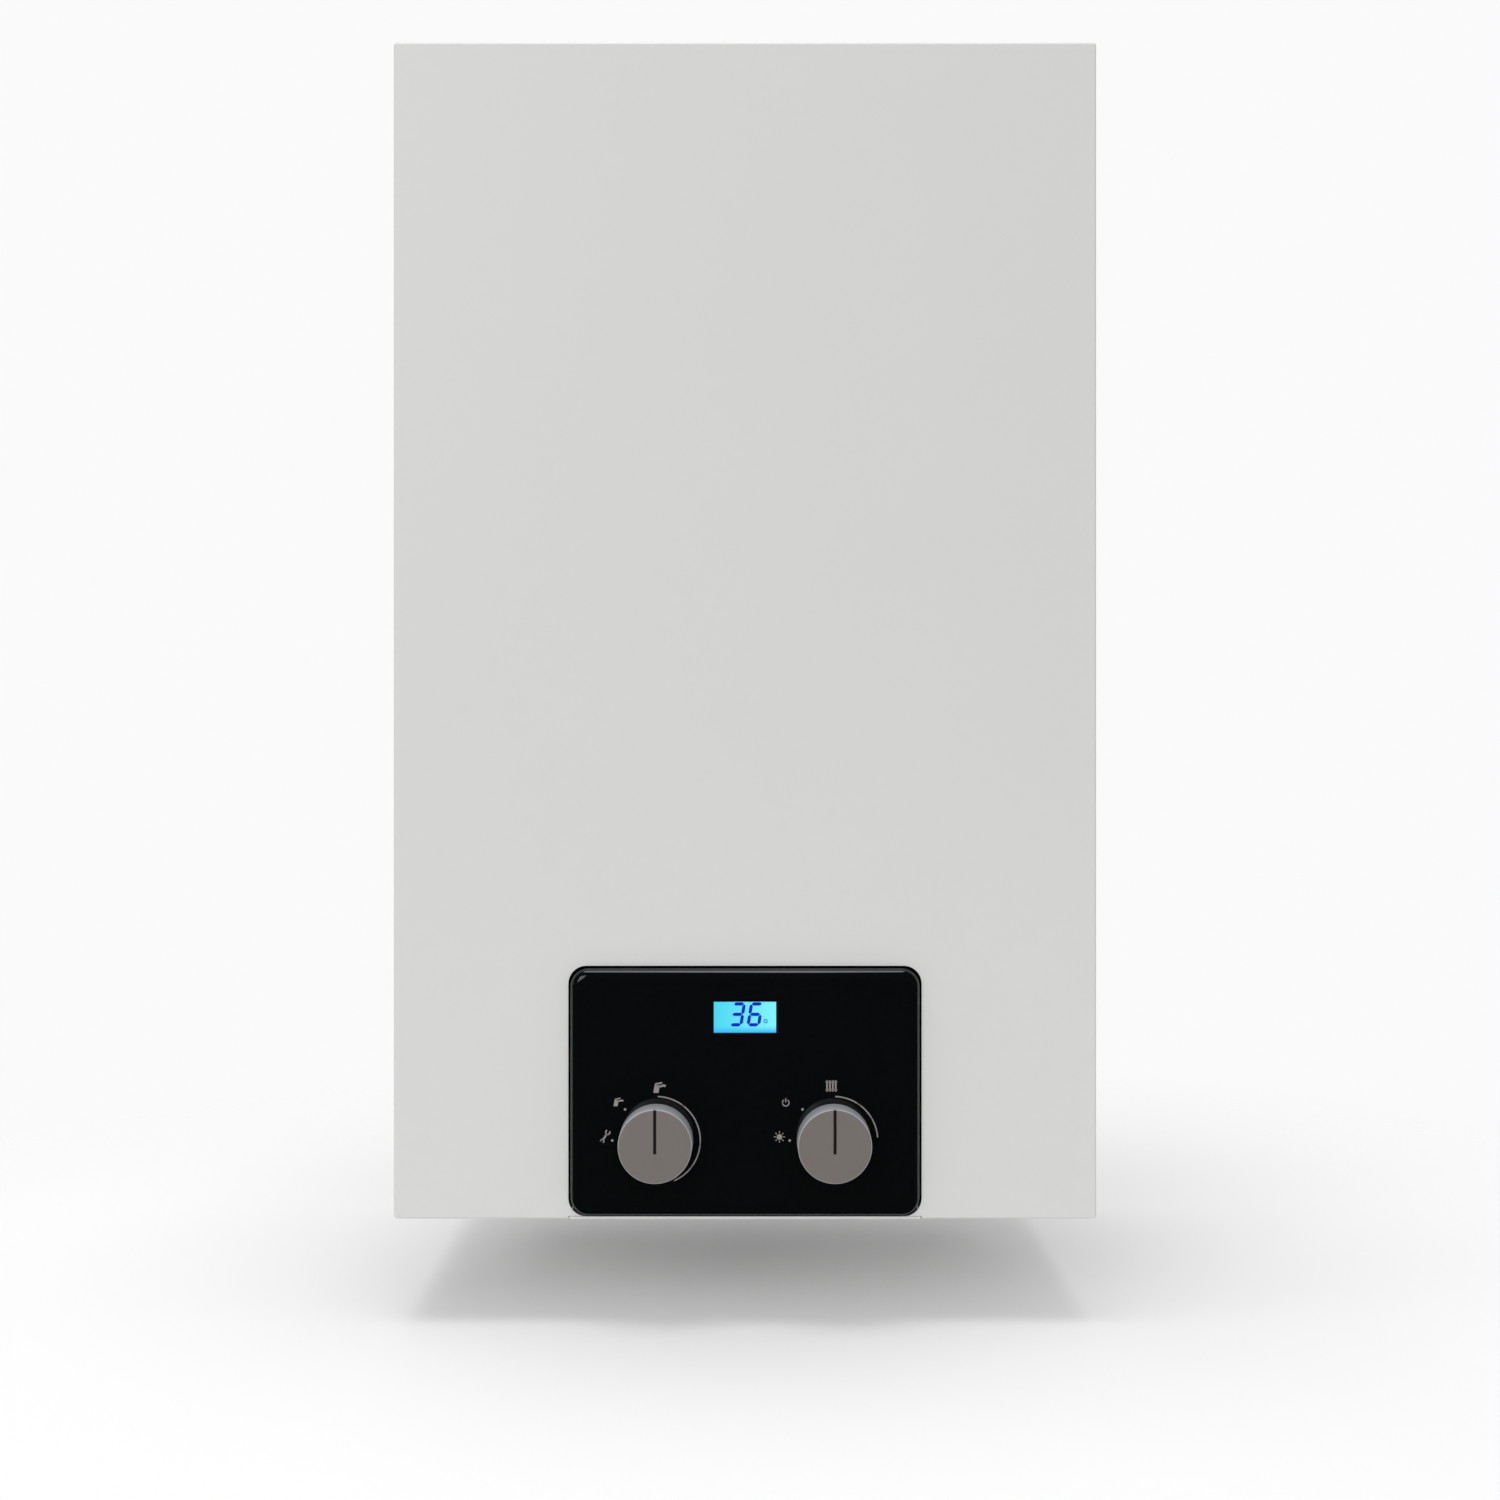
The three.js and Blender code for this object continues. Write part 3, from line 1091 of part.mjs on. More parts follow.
function airSilencer() {
  const half = SILENCER_SIZE / 2;
  const front = VENTURI_REAR + RUNNING_GAP;
  const rear = VESSEL_FRONT - SILENCER_VESSEL_GAP;
  const body = roundedBar(SILENCER_SIZE, SILENCER_SIZE, SILENCER_CORNER, rear, front, 3);
  return cut(body, rod(point(0, front - half, 0), point(0, rear + half, 0), SILENCER_BORE, ROUND));
}

// A shelf on the back frame, over the expansion vessel, with a web down to the exchanger's top.
function exchangerBracket() {
  const top = BRACKET_Z + HOOK_RISE - SHELF_DROP;
  const rear = FRAME_FRONT - RUNNING_GAP;
  const left = EXCHANGER_X - SHELF_SIDE;
  const flueHole = FLUE_PIPE_RADIUS + FLUE_HOLE_GAP;
  const right = flueHole + FLUE_HOLE_EDGE;
  const shelf = block([left, rear, top - SHELF_SHEET], [right, EXCHANGER_MIDDLE_Y - SHELF_REACH, top]);
  const flange = block([left, rear, top - SHELF_FLANGE], [right, rear - SHELF_SHEET, top]);
  const web = block(
    [left, EXCHANGER_MIDDLE_Y, EXCHANGER_Z + EXCHANGER_RADIUS + RUNNING_GAP],
    [-flueHole - SHELF_SHEET, EXCHANGER_MIDDLE_Y + SHELF_SHEET, top],
  );
  const onFlue = (z) => point(0, FLUE_Y, z);
  const hole = rod(onFlue(top - SHELF_FLANGE), onFlue(top + SHELF_FLANGE), flueHole, ROUND);
  return cut(join(shelf, flange, web), hole);
}

function flueDuct() {
  const low = EXCHANGER_Z + EXCHANGER_RADIUS + SHELF_DROP;
  const high = CASE_HEIGHT + COLLAR_HEIGHT;
  return upright(turnedRing(sleeve(FLUE_PIPE_RADIUS - FLUE_PIPE_WALL, FLUE_PIPE_RADIUS, low, high)));
}

const COLLAR_BOTTOM = CASE_HEIGHT + RUNNING_GAP;

// The socket that the air pipe stands in, with its flange on the top panel.
function flueCollar() {
  const outer = AIR_PIPE_RADIUS + COLLAR_WALL;
  return upright(turnedRing([
    [AIR_PIPE_RADIUS, COLLAR_BOTTOM], [COLLAR_FLANGE_RADIUS, COLLAR_BOTTOM],
    [COLLAR_FLANGE_RADIUS, COLLAR_BOTTOM + COLLAR_FLANGE_THICKNESS],
    [outer, COLLAR_BOTTOM + COLLAR_FLANGE_THICKNESS], [outer, COLLAR_BOTTOM + COLLAR_HEIGHT],
    [AIR_PIPE_RADIUS, COLLAR_BOTTOM + COLLAR_HEIGHT],
  ], FINE));
}

// A flat drum with domed faces and a rolled seam.
function expansionVessel() {
  const rear = FRAME_FRONT - RUNNING_GAP;
  const middle = (rear + VESSEL_FRONT) / 2;
  const dome = (face, towardsMiddle) => [0, 1, 2, 3].map((i) => {
    const angle = (i / 3) * Math.PI / 2;
    const radius = VESSEL_RADIUS - VESSEL_DOME * (1 - Math.sin(angle));
    return [radius, face + towardsMiddle * VESSEL_DOME * (1 - Math.cos(angle))];
  });
  const seam = [
    [VESSEL_RADIUS, middle + VESSEL_RIM], [VESSEL_RADIUS + VESSEL_RIM, middle + VESSEL_RIM / 2],
    [VESSEL_RADIUS + VESSEL_RIM, middle - VESSEL_RIM / 2], [VESSEL_RADIUS, middle - VESSEL_RIM],
  ];
  const frontDome = dome(VESSEL_FRONT, 1).reverse();
  return turned([[0, rear], ...dome(rear, -1), ...seam, ...frontDome, [0, VESSEL_FRONT]], FINE);
}

function gasValve() {
  const half = GAS_VALVE_SIZE / 2;
  const halfHeight = GAS_VALVE_HEIGHT / 2;
  const body = block([-half, -half, -halfHeight], [half, half, halfHeight]);
  const coil = rod(point(0, -half, 0), point(0, -half - GAS_COIL_LENGTH, 0), GAS_COIL_RADIUS, ROUND);
  const inlet = rod(point(0, 0, -halfHeight / 2), point(0, 0, -halfHeight - PIPE_SPIGOT), GAS_PIPE_RADIUS);
  const outlet = rod(point(0, 0, halfHeight / 2), point(0, 0, halfHeight + PIPE_SPIGOT), GAS_TUBE_RADIUS);
  return join(body, coil, inlet, outlet);
}

function burnerGroup() {
  const onExchanger = [EXCHANGER_X, 0, EXCHANGER_Z];
  const onFan = [FAN_OFFSET, 0, FAN_Z];
  const [electrodeX, electrodeZ] = electrodePlace();
  const exchanger = groupAt(
    onExchanger,
    piece('heat_exchanger', heatExchanger(), FINISH.stainless()),
    piece('burner_door', burnerDoor(), FINISH.castAluminium()),
    piece('burner_tube', burnerTube(), FINISH.stainless()),
    piece('ignition_electrode', ignitionElectrode(), FINISH.ceramic(), [electrodeX, 0, electrodeZ]),
  );
  const fan = groupAt(
    onFan,
    piece('fan_housing', fanHousing(), FINISH.castAluminium()),
    piece('fan_impeller', fanImpeller(), FINISH.castAluminium()),
    piece('fan_motor', fanMotor(), FINISH.darkPlastic()),
    piece('premix_duct', premixDuct(), FINISH.castAluminium()),
    piece('venturi', venturi(), FINISH.castAluminium()),
    piece('air_silencer', airSilencer(), FINISH.darkPlastic()),
  );
  const onFlue = [0, FLUE_Y, 0];
  return groupAt(
    [0, 0, 0], exchanger, fan,
    piece('exchanger_bracket', exchangerBracket(), FINISH.zincSheet()),
    piece('flue_duct', flueDuct(), FINISH.stainless(), onFlue),
    piece('flue_collar', flueCollar(), FINISH.whitePlastic(), onFlue),
    piece('expansion_vessel', expansionVessel(), FINISH.vesselGrey(), [0, 0, VESSEL_Z]),
    piece('gas_valve', gasValve(), FINISH.castAluminium(), [GAS_X, GAS_Y, GAS_VALVE_RISE]),
  );
}

// ---------------------------------------------------------------------------------------------
// Hydraulic group
// ---------------------------------------------------------------------------------------------

// A block on its nipple with the water way up through it. Its axis is at x = y = 0.
function valveBlock(height) {
  const body = block(
    [-BLOCK_WIDTH / 2, -BLOCK_DEPTH / 2, BLOCK_BOTTOM],
    [BLOCK_WIDTH / 2, BLOCK_DEPTH / 2, BLOCK_BOTTOM + height],
  );
  const way = rod(point(0, 0, 0), point(0, 0, BLOCK_BOTTOM + 2 * height), SPOOL_RADIUS + STEM_CLEARANCE);
  return cut(body, way);
}

function diverterBlock() {
  const port = rod(
    point(0, 0, FLOW_PIPE_ENTRY), point(0, -BLOCK_DEPTH, FLOW_PIPE_ENTRY), HEATING_PIPE_RADIUS - PIPE_WALL,
  );
  return cut(valveBlock(DIVERTER_HEIGHT), port);
}

function diverterActuator() {
  const low = BLOCK_BOTTOM + DIVERTER_HEIGHT + RUNNING_GAP;
  const body = roundedBar(ACTUATOR_SIZE, ACTUATOR_SIZE, STEM_RADIUS, 0, -ACTUATOR_HEIGHT, 2);
  const raised = body.rotateX(-Math.PI / 2).translate(0, 0, low);
  const bore = rod(point(0, 0, 0), point(0, 0, low + STEM_BORE_DEPTH), STEM_RADIUS + STEM_CLEARANCE);
  return cut(raised, bore);
}

function diverterStem() {
  const low = BLOCK_BOTTOM + STEM_RISE;
  return upright(turned([
    [0, low], [SPOOL_RADIUS, low], [SPOOL_RADIUS, low + SPOOL_LENGTH], [STEM_RADIUS, low + SPOOL_LENGTH],
    [STEM_RADIUS, low + STEM_LENGTH], [0, low + STEM_LENGTH],
  ], COARSE));
}

// A stack of brazed plates, with a groove between each two.
function plateHeatExchanger() {
  const width = RETURN_X - FLOW_X - BLOCK_WIDTH - 2 * RUNNING_GAP;
  const pitch = PLATE_STACK_HEIGHT / PLATE_COUNT;
  const ring = (inset, z) => roundedOutline(
    width - 2 * inset, PLATE_STACK_DEPTH - 2 * inset, PLATE_CORNER - inset, 2,
  ).map((p) => point(p.x, p.y, z));
  const rings = [];
  for (let plate = 0; plate < PLATE_COUNT; plate++) {
    const low = PLATE_STACK_RISE + plate * pitch;
    rings.push(ring(PLATE_GROOVE, low), ring(0, low + pitch / 2));
  }
  rings.push(ring(PLATE_GROOVE, PLATE_STACK_RISE + PLATE_STACK_HEIGHT));
  return loft(rings);
}

function straightPipe(radius, low, high) {
  return upright(turnedRing(sleeve(radius - PIPE_WALL, radius, low, high), COARSE));
}

// The pump is drawn about its own axis, with its inlet spigot on the return connection.
const PUMP_REAR = -PUMP_SETBACK;
const PUMP_FRONT = PUMP_REAR - PUMP_DEPTH;
const PUMP_MIDDLE = (PUMP_REAR + PUMP_FRONT) / 2;
const PUMP_MOTOR_REAR = PUMP_FRONT - RUNNING_GAP;
const PUMP_TOP = PUMP_RADIUS + PUMP_BOSS_RISE;

// A cup with its inlet below, its outlet above and the automatic air vent beside it.
function pumpHousing() {
  const inner = PUMP_RADIUS - PUMP_WALL;
  const cup = turned([
    [0, PUMP_REAR], [PUMP_RADIUS, PUMP_REAR], [PUMP_RADIUS, PUMP_FRONT], [inner, PUMP_FRONT],
    [inner, PUMP_REAR - PUMP_WALL], [0, PUMP_REAR - PUMP_WALL],
  ], FINE);
  const inletTop = PUMP_WALL / 2 - inner;
  const inletBottom = BLOCK_BOTTOM + RETURN_BLOCK_HEIGHT + RUNNING_GAP - PUMP_RISE;
  const inletRing = (x, z) => Array.from({ length: COARSE }, (_, i) => {
    const angle = (i / COARSE) * 2 * Math.PI;
    const [across, deep] = [PUMP_SPIGOT_RADIUS * Math.cos(angle), PUMP_SPIGOT_RADIUS * Math.sin(angle)];
    return point(x + across, PUMP_MIDDLE + deep, z);
  });
  const inlet = loft([
    inletRing(RETURN_X - PUMP_X, inletBottom), inletRing(RETURN_X - PUMP_X, inletBottom + PUMP_SPIGOT_LIP),
    inletRing(-PUMP_INLET_OFFSET, inletTop),
  ]);
  const onOutlet = (side, z) => point(side * PUMP_OUTLET_OFFSET, PUMP_MIDDLE, z);
  const spigots = join(
    inlet,
    rod(onOutlet(1, inner), onOutlet(1, PUMP_TOP), HEATING_PIPE_RADIUS),
    rod(onOutlet(-1, inner), onOutlet(-1, PUMP_TOP + VENT_HEIGHT), VENT_RADIUS),
    rod(onOutlet(-1, PUMP_TOP), onOutlet(-1, PUMP_TOP + VENT_HEIGHT + VENT_CAP_HEIGHT), VENT_CAP_RADIUS),
  );
  const chamber = rod(point(0, PUMP_REAR - PUMP_WALL, 0), point(0, 2 * PUMP_FRONT, 0), inner, FINE);
  return join(cup, cut(spigots, chamber));
}

function pumpMotor() {
  const front = PUMP_MOTOR_REAR - PUMP_MOTOR_LENGTH;
  const bore = PUMP_SHAFT_RADIUS + SHAFT_CLEARANCE;
  const can = turned([
    [0, front], [PUMP_MOTOR_RADIUS - PUMP_WALL, front], [PUMP_MOTOR_RADIUS, front + PUMP_WALL],
    [PUMP_MOTOR_RADIUS, PUMP_MOTOR_REAR], [bore, PUMP_MOTOR_REAR], [bore, front + PUMP_MOTOR_LENGTH / 2],
    [0, front + PUMP_MOTOR_LENGTH / 2],
  ], FINE);
  const half = PUMP_MOTOR_RADIUS / 2;
  const terminalBox = block(
    [-half, front + PUMP_WALL, half], [half, PUMP_MOTOR_REAR - PUMP_WALL, PUMP_MOTOR_RADIUS + PUMP_WALL],
  );
  return join(can, terminalBox);
}

function pumpImpeller() {
  const radius = PUMP_RADIUS - PUMP_WALL - PUMP_IMPELLER_GAP;
  const bladeRear = PUMP_REAR - PUMP_WALL - PUMP_IMPELLER_GAP;
  return bladedRotor(
    radius, PUMP_EYE_RADIUS, PUMP_FRONT + PUMP_WALL, PUMP_IMPELLER_SHEET, bladeRear, PUMP_BLADES,
    PUMP_SHAFT_RADIUS, PUMP_MOTOR_REAR - PUMP_MOTOR_LENGTH / 3,
  );
}

// A valve body that stands forward from the plane y = rear.
function tapBody(rear) {
  return rod(point(0, rear, 0), point(0, rear - TAP_LENGTH, 0), TAP_RADIUS);
}

function reliefKnob(rear) {
  const front = rear - RELIEF_KNOB_LENGTH;
  return rod(point(0, rear, 0), point(0, front, 0), RELIEF_KNOB_RADIUS, RELIEF_KNOB_LOBES);
}

function fillingHandle(rear) {
  const front = rear - FILL_HANDLE_THICKNESS;
  const half = FILL_HANDLE_WIDTH / 2;
  const hub = rod(point(0, rear, 0), point(0, front, 0), TAP_RADIUS);
  return join(hub, block([-half, rear, 0], [half, front, FILL_HANDLE_LENGTH]));
}

// A cup on the bottom panel with its outlet through it.
function siphonTrap() {
  const seat = PANEL_SHEET + RUNNING_GAP;
  const bore = TRAP_OUTLET_RADIUS - PIPE_WALL;
  return upright(turned([
    [0, seat], [bore, seat], [bore, -TRAP_OUTLET_DROP], [TRAP_OUTLET_RADIUS, -TRAP_OUTLET_DROP],
    [TRAP_OUTLET_RADIUS, seat], [TRAP_RADIUS, seat], [TRAP_RADIUS, TRAP_HEIGHT - PIPE_BEND],
    [HOSE_RADIUS, TRAP_HEIGHT], [0, TRAP_HEIGHT],
  ]));
}

// The pipes that bend: each is a name, its route, its radius and its finish.
function bentPipes() {
  const portBottom = PORT_Z - RUNNING_GAP;
  const blockFront = CONNECTION_Y - BLOCK_DEPTH / 2;
  const flowRun = blockFront - FLOW_PIPE_STANDOFF;
  const trap = [-TRAP_OFFSET, -TRAP_SETBACK];
  const portY = EXCHANGER_MIDDLE_Y;
  const pumpOutletX = PUMP_X + PUMP_OUTLET_OFFSET;
  const gasTop = GAS_VALVE_RISE + GAS_VALVE_HEIGHT / 2 + PIPE_SPIGOT + RUNNING_GAP;
  const gasBottom = GAS_VALVE_RISE - GAS_VALVE_HEIGHT / 2 - PIPE_SPIGOT - RUNNING_GAP;
  const bossBottom = FAN_Z - VENTURI_BOSS_LENGTH - RUNNING_GAP;
  const vesselY = (FRAME_FRONT + VESSEL_FRONT) / 2;
  const vesselBottom = VESSEL_Z - VESSEL_RADIUS - VESSEL_RIM - RUNNING_GAP;
  const behindBlocks = (FRAME_FRONT + CONNECTION_Y + BLOCK_DEPTH / 2) / 2;
  const upperRun = portBottom - PIPE_RUN_DROP;
  const pumpOutlet = PUMP_RISE + PUMP_TOP + RUNNING_GAP;
  const returnMiddle = (pumpOutlet + portBottom) / 2;
  const returnLow = returnMiddle - RETURN_RUN_SLOPE / 2;
  const returnHigh = returnMiddle + RETURN_RUN_SLOPE / 2;
  const gasRunTop = GAS_RUN_RISE + GAS_RUN_LIFT;
  const vesselRun = vesselBottom - 2 * PIPE_BEND;
  return [
    ['flow_pipe', HEATING_PIPE_RADIUS, FINISH.copper(), [
      [EXCHANGER_X - PORT_SPACING, portY, portBottom], [EXCHANGER_X - PORT_SPACING, portY, upperRun],
      [FLOW_X, flowRun, upperRun - PIPE_RUN_SLOPE], [FLOW_X, flowRun, FLOW_PIPE_ENTRY],
      [FLOW_X, blockFront - RUNNING_GAP, FLOW_PIPE_ENTRY],
    ]],
    ['return_pipe', HEATING_PIPE_RADIUS, FINISH.copper(), [
      [pumpOutletX, PUMP_MIDDLE, pumpOutlet], [pumpOutletX, PUMP_MIDDLE, returnLow],
      [EXCHANGER_X + PORT_SPACING, portY, returnHigh],
      [EXCHANGER_X + PORT_SPACING, portY, portBottom],
    ]],
    ['gas_pipe', GAS_PIPE_RADIUS, FINISH.copper(), [
      [0, CONNECTION_Y, NIPPLE_TOP + RUNNING_GAP], [0, CONNECTION_Y, GAS_RUN_RISE],
      [GAS_RUN_OFFSET, -TRAP_SETBACK, gasRunTop],
      [GAS_X, GAS_Y, PLATE_STACK_RISE + PIPE_BEND], [GAS_X, GAS_Y, gasBottom],
    ]],
    ['mixture_gas_tube', GAS_TUBE_RADIUS, FINISH.copper(), [
      [GAS_X, GAS_Y, gasTop], [GAS_X, GAS_Y, gasTop + 2 * PIPE_BEND],
      [FAN_OFFSET, VENTURI_MIDDLE, bossBottom - 2 * PIPE_BEND], [FAN_OFFSET, VENTURI_MIDDLE, bossBottom],
    ]],
    ['vessel_hose', VESSEL_HOSE_RADIUS, FINISH.blackRubber(), [
      [0, vesselY, vesselBottom], [0, vesselY, vesselRun],
      [CONNECTION_PITCH, behindBlocks, PLATE_STACK_RISE + PLATE_STACK_HEIGHT],
      [RETURN_X, behindBlocks, TAP_RISE],
      [RETURN_X, CONNECTION_Y + BLOCK_DEPTH / 2 + RUNNING_GAP, TAP_RISE],
    ]],
    ['condensate_hose', HOSE_RADIUS, FINISH.greyPlastic(), [
      [EXCHANGER_X, portY, portBottom], [EXCHANGER_X, portY, upperRun],
      [...trap, upperRun - PIPE_RUN_SLOPE], [...trap, TRAP_HEIGHT + RUNNING_GAP],
    ]],
  ];
}

function hydraulicGroup() {
  const blockFront = -BLOCK_DEPTH / 2 - RUNNING_GAP;
  const coldPipeFront = -WATER_PIPE_RADIUS - RUNNING_GAP;
  const pastTap = TAP_LENGTH + RUNNING_GAP;
  const pipeLow = NIPPLE_TOP + RUNNING_GAP;
  const pipeHigh = PLATE_STACK_RISE - RUNNING_GAP;
  const onFlow = [FLOW_X, CONNECTION_Y, 0];
  const onReturn = [RETURN_X, CONNECTION_Y, 0];
  const onPump = [PUMP_X, 0, PUMP_RISE];
  const waterPipe = () => straightPipe(WATER_PIPE_RADIUS, pipeLow, pipeHigh);
  const [relief, filling] = [[RETURN_X, CONNECTION_Y, TAP_RISE], [COLD_X, CONNECTION_Y, TAP_RISE]];
  const pipes = bentPipes().map(([name, radius, material, route]) => (
    piece(name, pipe(route.map((place) => point(...place)), radius, PIPE_WALL), material)
  ));
  return groupAt(
    [0, 0, 0],
    piece('diverter_block', diverterBlock(), FINISH.brass(), onFlow),
    piece('diverter_actuator', diverterActuator(), FINISH.darkPlastic(), onFlow),
    piece('diverter_stem', diverterStem(), FINISH.stainless(), onFlow),
    piece('return_block', valveBlock(RETURN_BLOCK_HEIGHT), FINISH.brass(), onReturn),
    piece('relief_valve', tapBody(blockFront), FINISH.brass(), relief),
    piece('relief_knob', reliefKnob(blockFront - pastTap), FINISH.redPlastic(), relief),
    piece('filling_valve', tapBody(coldPipeFront), FINISH.brass(), filling),
    piece('filling_handle', fillingHandle(coldPipeFront - pastTap), FINISH.darkPlastic(), filling),
    piece('plate_heat_exchanger', plateHeatExchanger(), FINISH.stainless(), [0, CONNECTION_Y, 0]),
    piece('hot_water_pipe', waterPipe(), FINISH.copper(), [HOT_X, CONNECTION_Y, 0]),
    piece('cold_water_pipe', waterPipe(), FINISH.copper(), [COLD_X, CONNECTION_Y, 0]),
    piece('pump_housing', pumpHousing(), FINISH.darkPlastic(), onPump),
    piece('pump_impeller', pumpImpeller(), FINISH.stainless(), onPump),
    piece('pump_motor', pumpMotor(), FINISH.castAluminium(), onPump),
    piece('siphon_trap', siphonTrap(), FINISH.greyPlastic(), [-TRAP_OFFSET, -TRAP_SETBACK, 0]),
    ...pipes,
  );
}

export default groupAt([0, 0, -BRACKET_Z], casing(), controlPanel(), burnerGroup(), hydraulicGroup());
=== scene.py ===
"""The looks of a wall-hung combi boiler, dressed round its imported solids.

Everything is in metres in the part's own frame: +Z up, the wall at y = 0 and the front towards -Y.
Sizes in the classes are millimetres, as on a drawing, and are turned to metres where points are made.
"""

from __future__ import annotations

import json
import logging
import math
from dataclasses import dataclass, field, replace
from enum import Enum
from typing import Iterable, Sequence

import bmesh
import bpy
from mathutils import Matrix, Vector

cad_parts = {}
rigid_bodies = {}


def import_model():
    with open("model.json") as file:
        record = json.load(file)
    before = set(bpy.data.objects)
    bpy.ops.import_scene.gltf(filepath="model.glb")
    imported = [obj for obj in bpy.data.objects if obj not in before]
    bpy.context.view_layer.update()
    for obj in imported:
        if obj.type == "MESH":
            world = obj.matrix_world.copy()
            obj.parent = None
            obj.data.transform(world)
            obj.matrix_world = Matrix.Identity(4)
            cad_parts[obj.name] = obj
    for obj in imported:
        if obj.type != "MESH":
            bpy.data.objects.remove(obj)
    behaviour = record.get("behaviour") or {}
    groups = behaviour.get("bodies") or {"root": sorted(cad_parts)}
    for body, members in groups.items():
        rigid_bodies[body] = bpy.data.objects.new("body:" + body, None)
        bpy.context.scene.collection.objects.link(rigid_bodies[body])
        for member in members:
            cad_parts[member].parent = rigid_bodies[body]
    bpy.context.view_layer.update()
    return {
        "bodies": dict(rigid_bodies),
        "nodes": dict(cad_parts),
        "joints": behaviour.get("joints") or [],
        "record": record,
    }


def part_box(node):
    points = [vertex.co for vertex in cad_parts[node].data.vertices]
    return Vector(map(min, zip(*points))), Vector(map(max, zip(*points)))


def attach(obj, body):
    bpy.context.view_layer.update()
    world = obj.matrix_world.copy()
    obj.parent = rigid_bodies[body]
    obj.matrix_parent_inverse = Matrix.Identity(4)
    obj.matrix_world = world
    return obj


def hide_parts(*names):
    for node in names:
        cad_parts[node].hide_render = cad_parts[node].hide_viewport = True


LOG = logging.getLogger("boiler")
MM = 0.001
SMOOTH_ANGLE = 40.0  # edges that turn less than this many degrees are shaded round
SAME_POINT = 1e-7  # in metres, for corners of one mesh made here
SAME_CORNER = 1e-6  # in metres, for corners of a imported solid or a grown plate
EDGE_STEPS = 10  # chords of a rounded edge
ROUGHNESS_SPREAD = 0.15  # how far a finish's roughness wanders to each side, as a share
DRIFT_MARKS = 40  # the colour drifts over so many marks of the grain
STRAND_MARKS = 6  # marks of the grain to one strand of a weave
HEXAGON = 6
SOCKET_SHARE = 0.42  # a socket's radius to its head's
FACES_FRONT = -0.9  # a normal's y below which a face looks forwards

Point = tuple[float, float, float]
Flat = tuple[float, float]

FORWARDS = (0, -1, 0)
BACKWARDS = (0, 1, 0)
UPWARDS = (0, 0, 1)
DOWN = (0, 0, -1)


# ---------------------------------------------------------------------------------------------
# Nodes and finishes
# ---------------------------------------------------------------------------------------------


def linear(colour: str) -> tuple[float, float, float, float]:
    """Turns an sRGB hex colour to a linear one.

    Args:
        colour: the colour as #rrggbb.

    Returns:
        Linear red, green and blue, and an alpha of 1.
    """
    channels = [int(colour[i:i + 2], 16) / 255 for i in (1, 3, 5)]
    red, green, blue = (c / 12.92 if c <= 0.04045 else ((c + 0.055) / 1.055) ** 2.4 for c in channels)
    return red, green, blue, 1.0


def add_node(tree: bpy.types.NodeTree, kind: str, settings: dict | None = None,
             links: dict | None = None) -> bpy.types.Node:
    """Adds one node to a tree with its settings and links.

    Args:
        tree: the tree that gets the node.
        kind: the node's type name.
        settings: values by the node's property name, or by the name or number of an input.
        links: output sockets by the name or number of the input that each goes to.

    Returns:
        The new node.
    """
    node = tree.nodes.new(kind)
    for name, value in (settings or {}).items():
        if isinstance(name, str) and hasattr(node, name):
            setattr(node, name, value)
        else:
            node.inputs[name].default_value = value
    for name, source in (links or {}).items():
        tree.links.new(source, node.inputs[name])
    return node


def empty_tree(owner: bpy.types.Material | bpy.types.World) -> bpy.types.NodeTree:
    """Turns on the nodes of a material or a world, and clears them.

    Args:
        owner: the material or the world.

    Returns:
        Its empty tree.
    """
    owner.use_nodes = True
    owner.node_tree.nodes.clear()
    return owner.node_tree


class Grain(Enum):
    """How a surface was made, which decides the pattern on it."""

    POWDER_COAT = "powder coat"
    SPANGLE = "hot-dip zinc"
    BRUSHED = "brushed"
    CAST = "cast"
    MOULDED = "moulded"
    DRAWN = "drawn"
    SPUN = "spun"
    WOVEN = "woven"


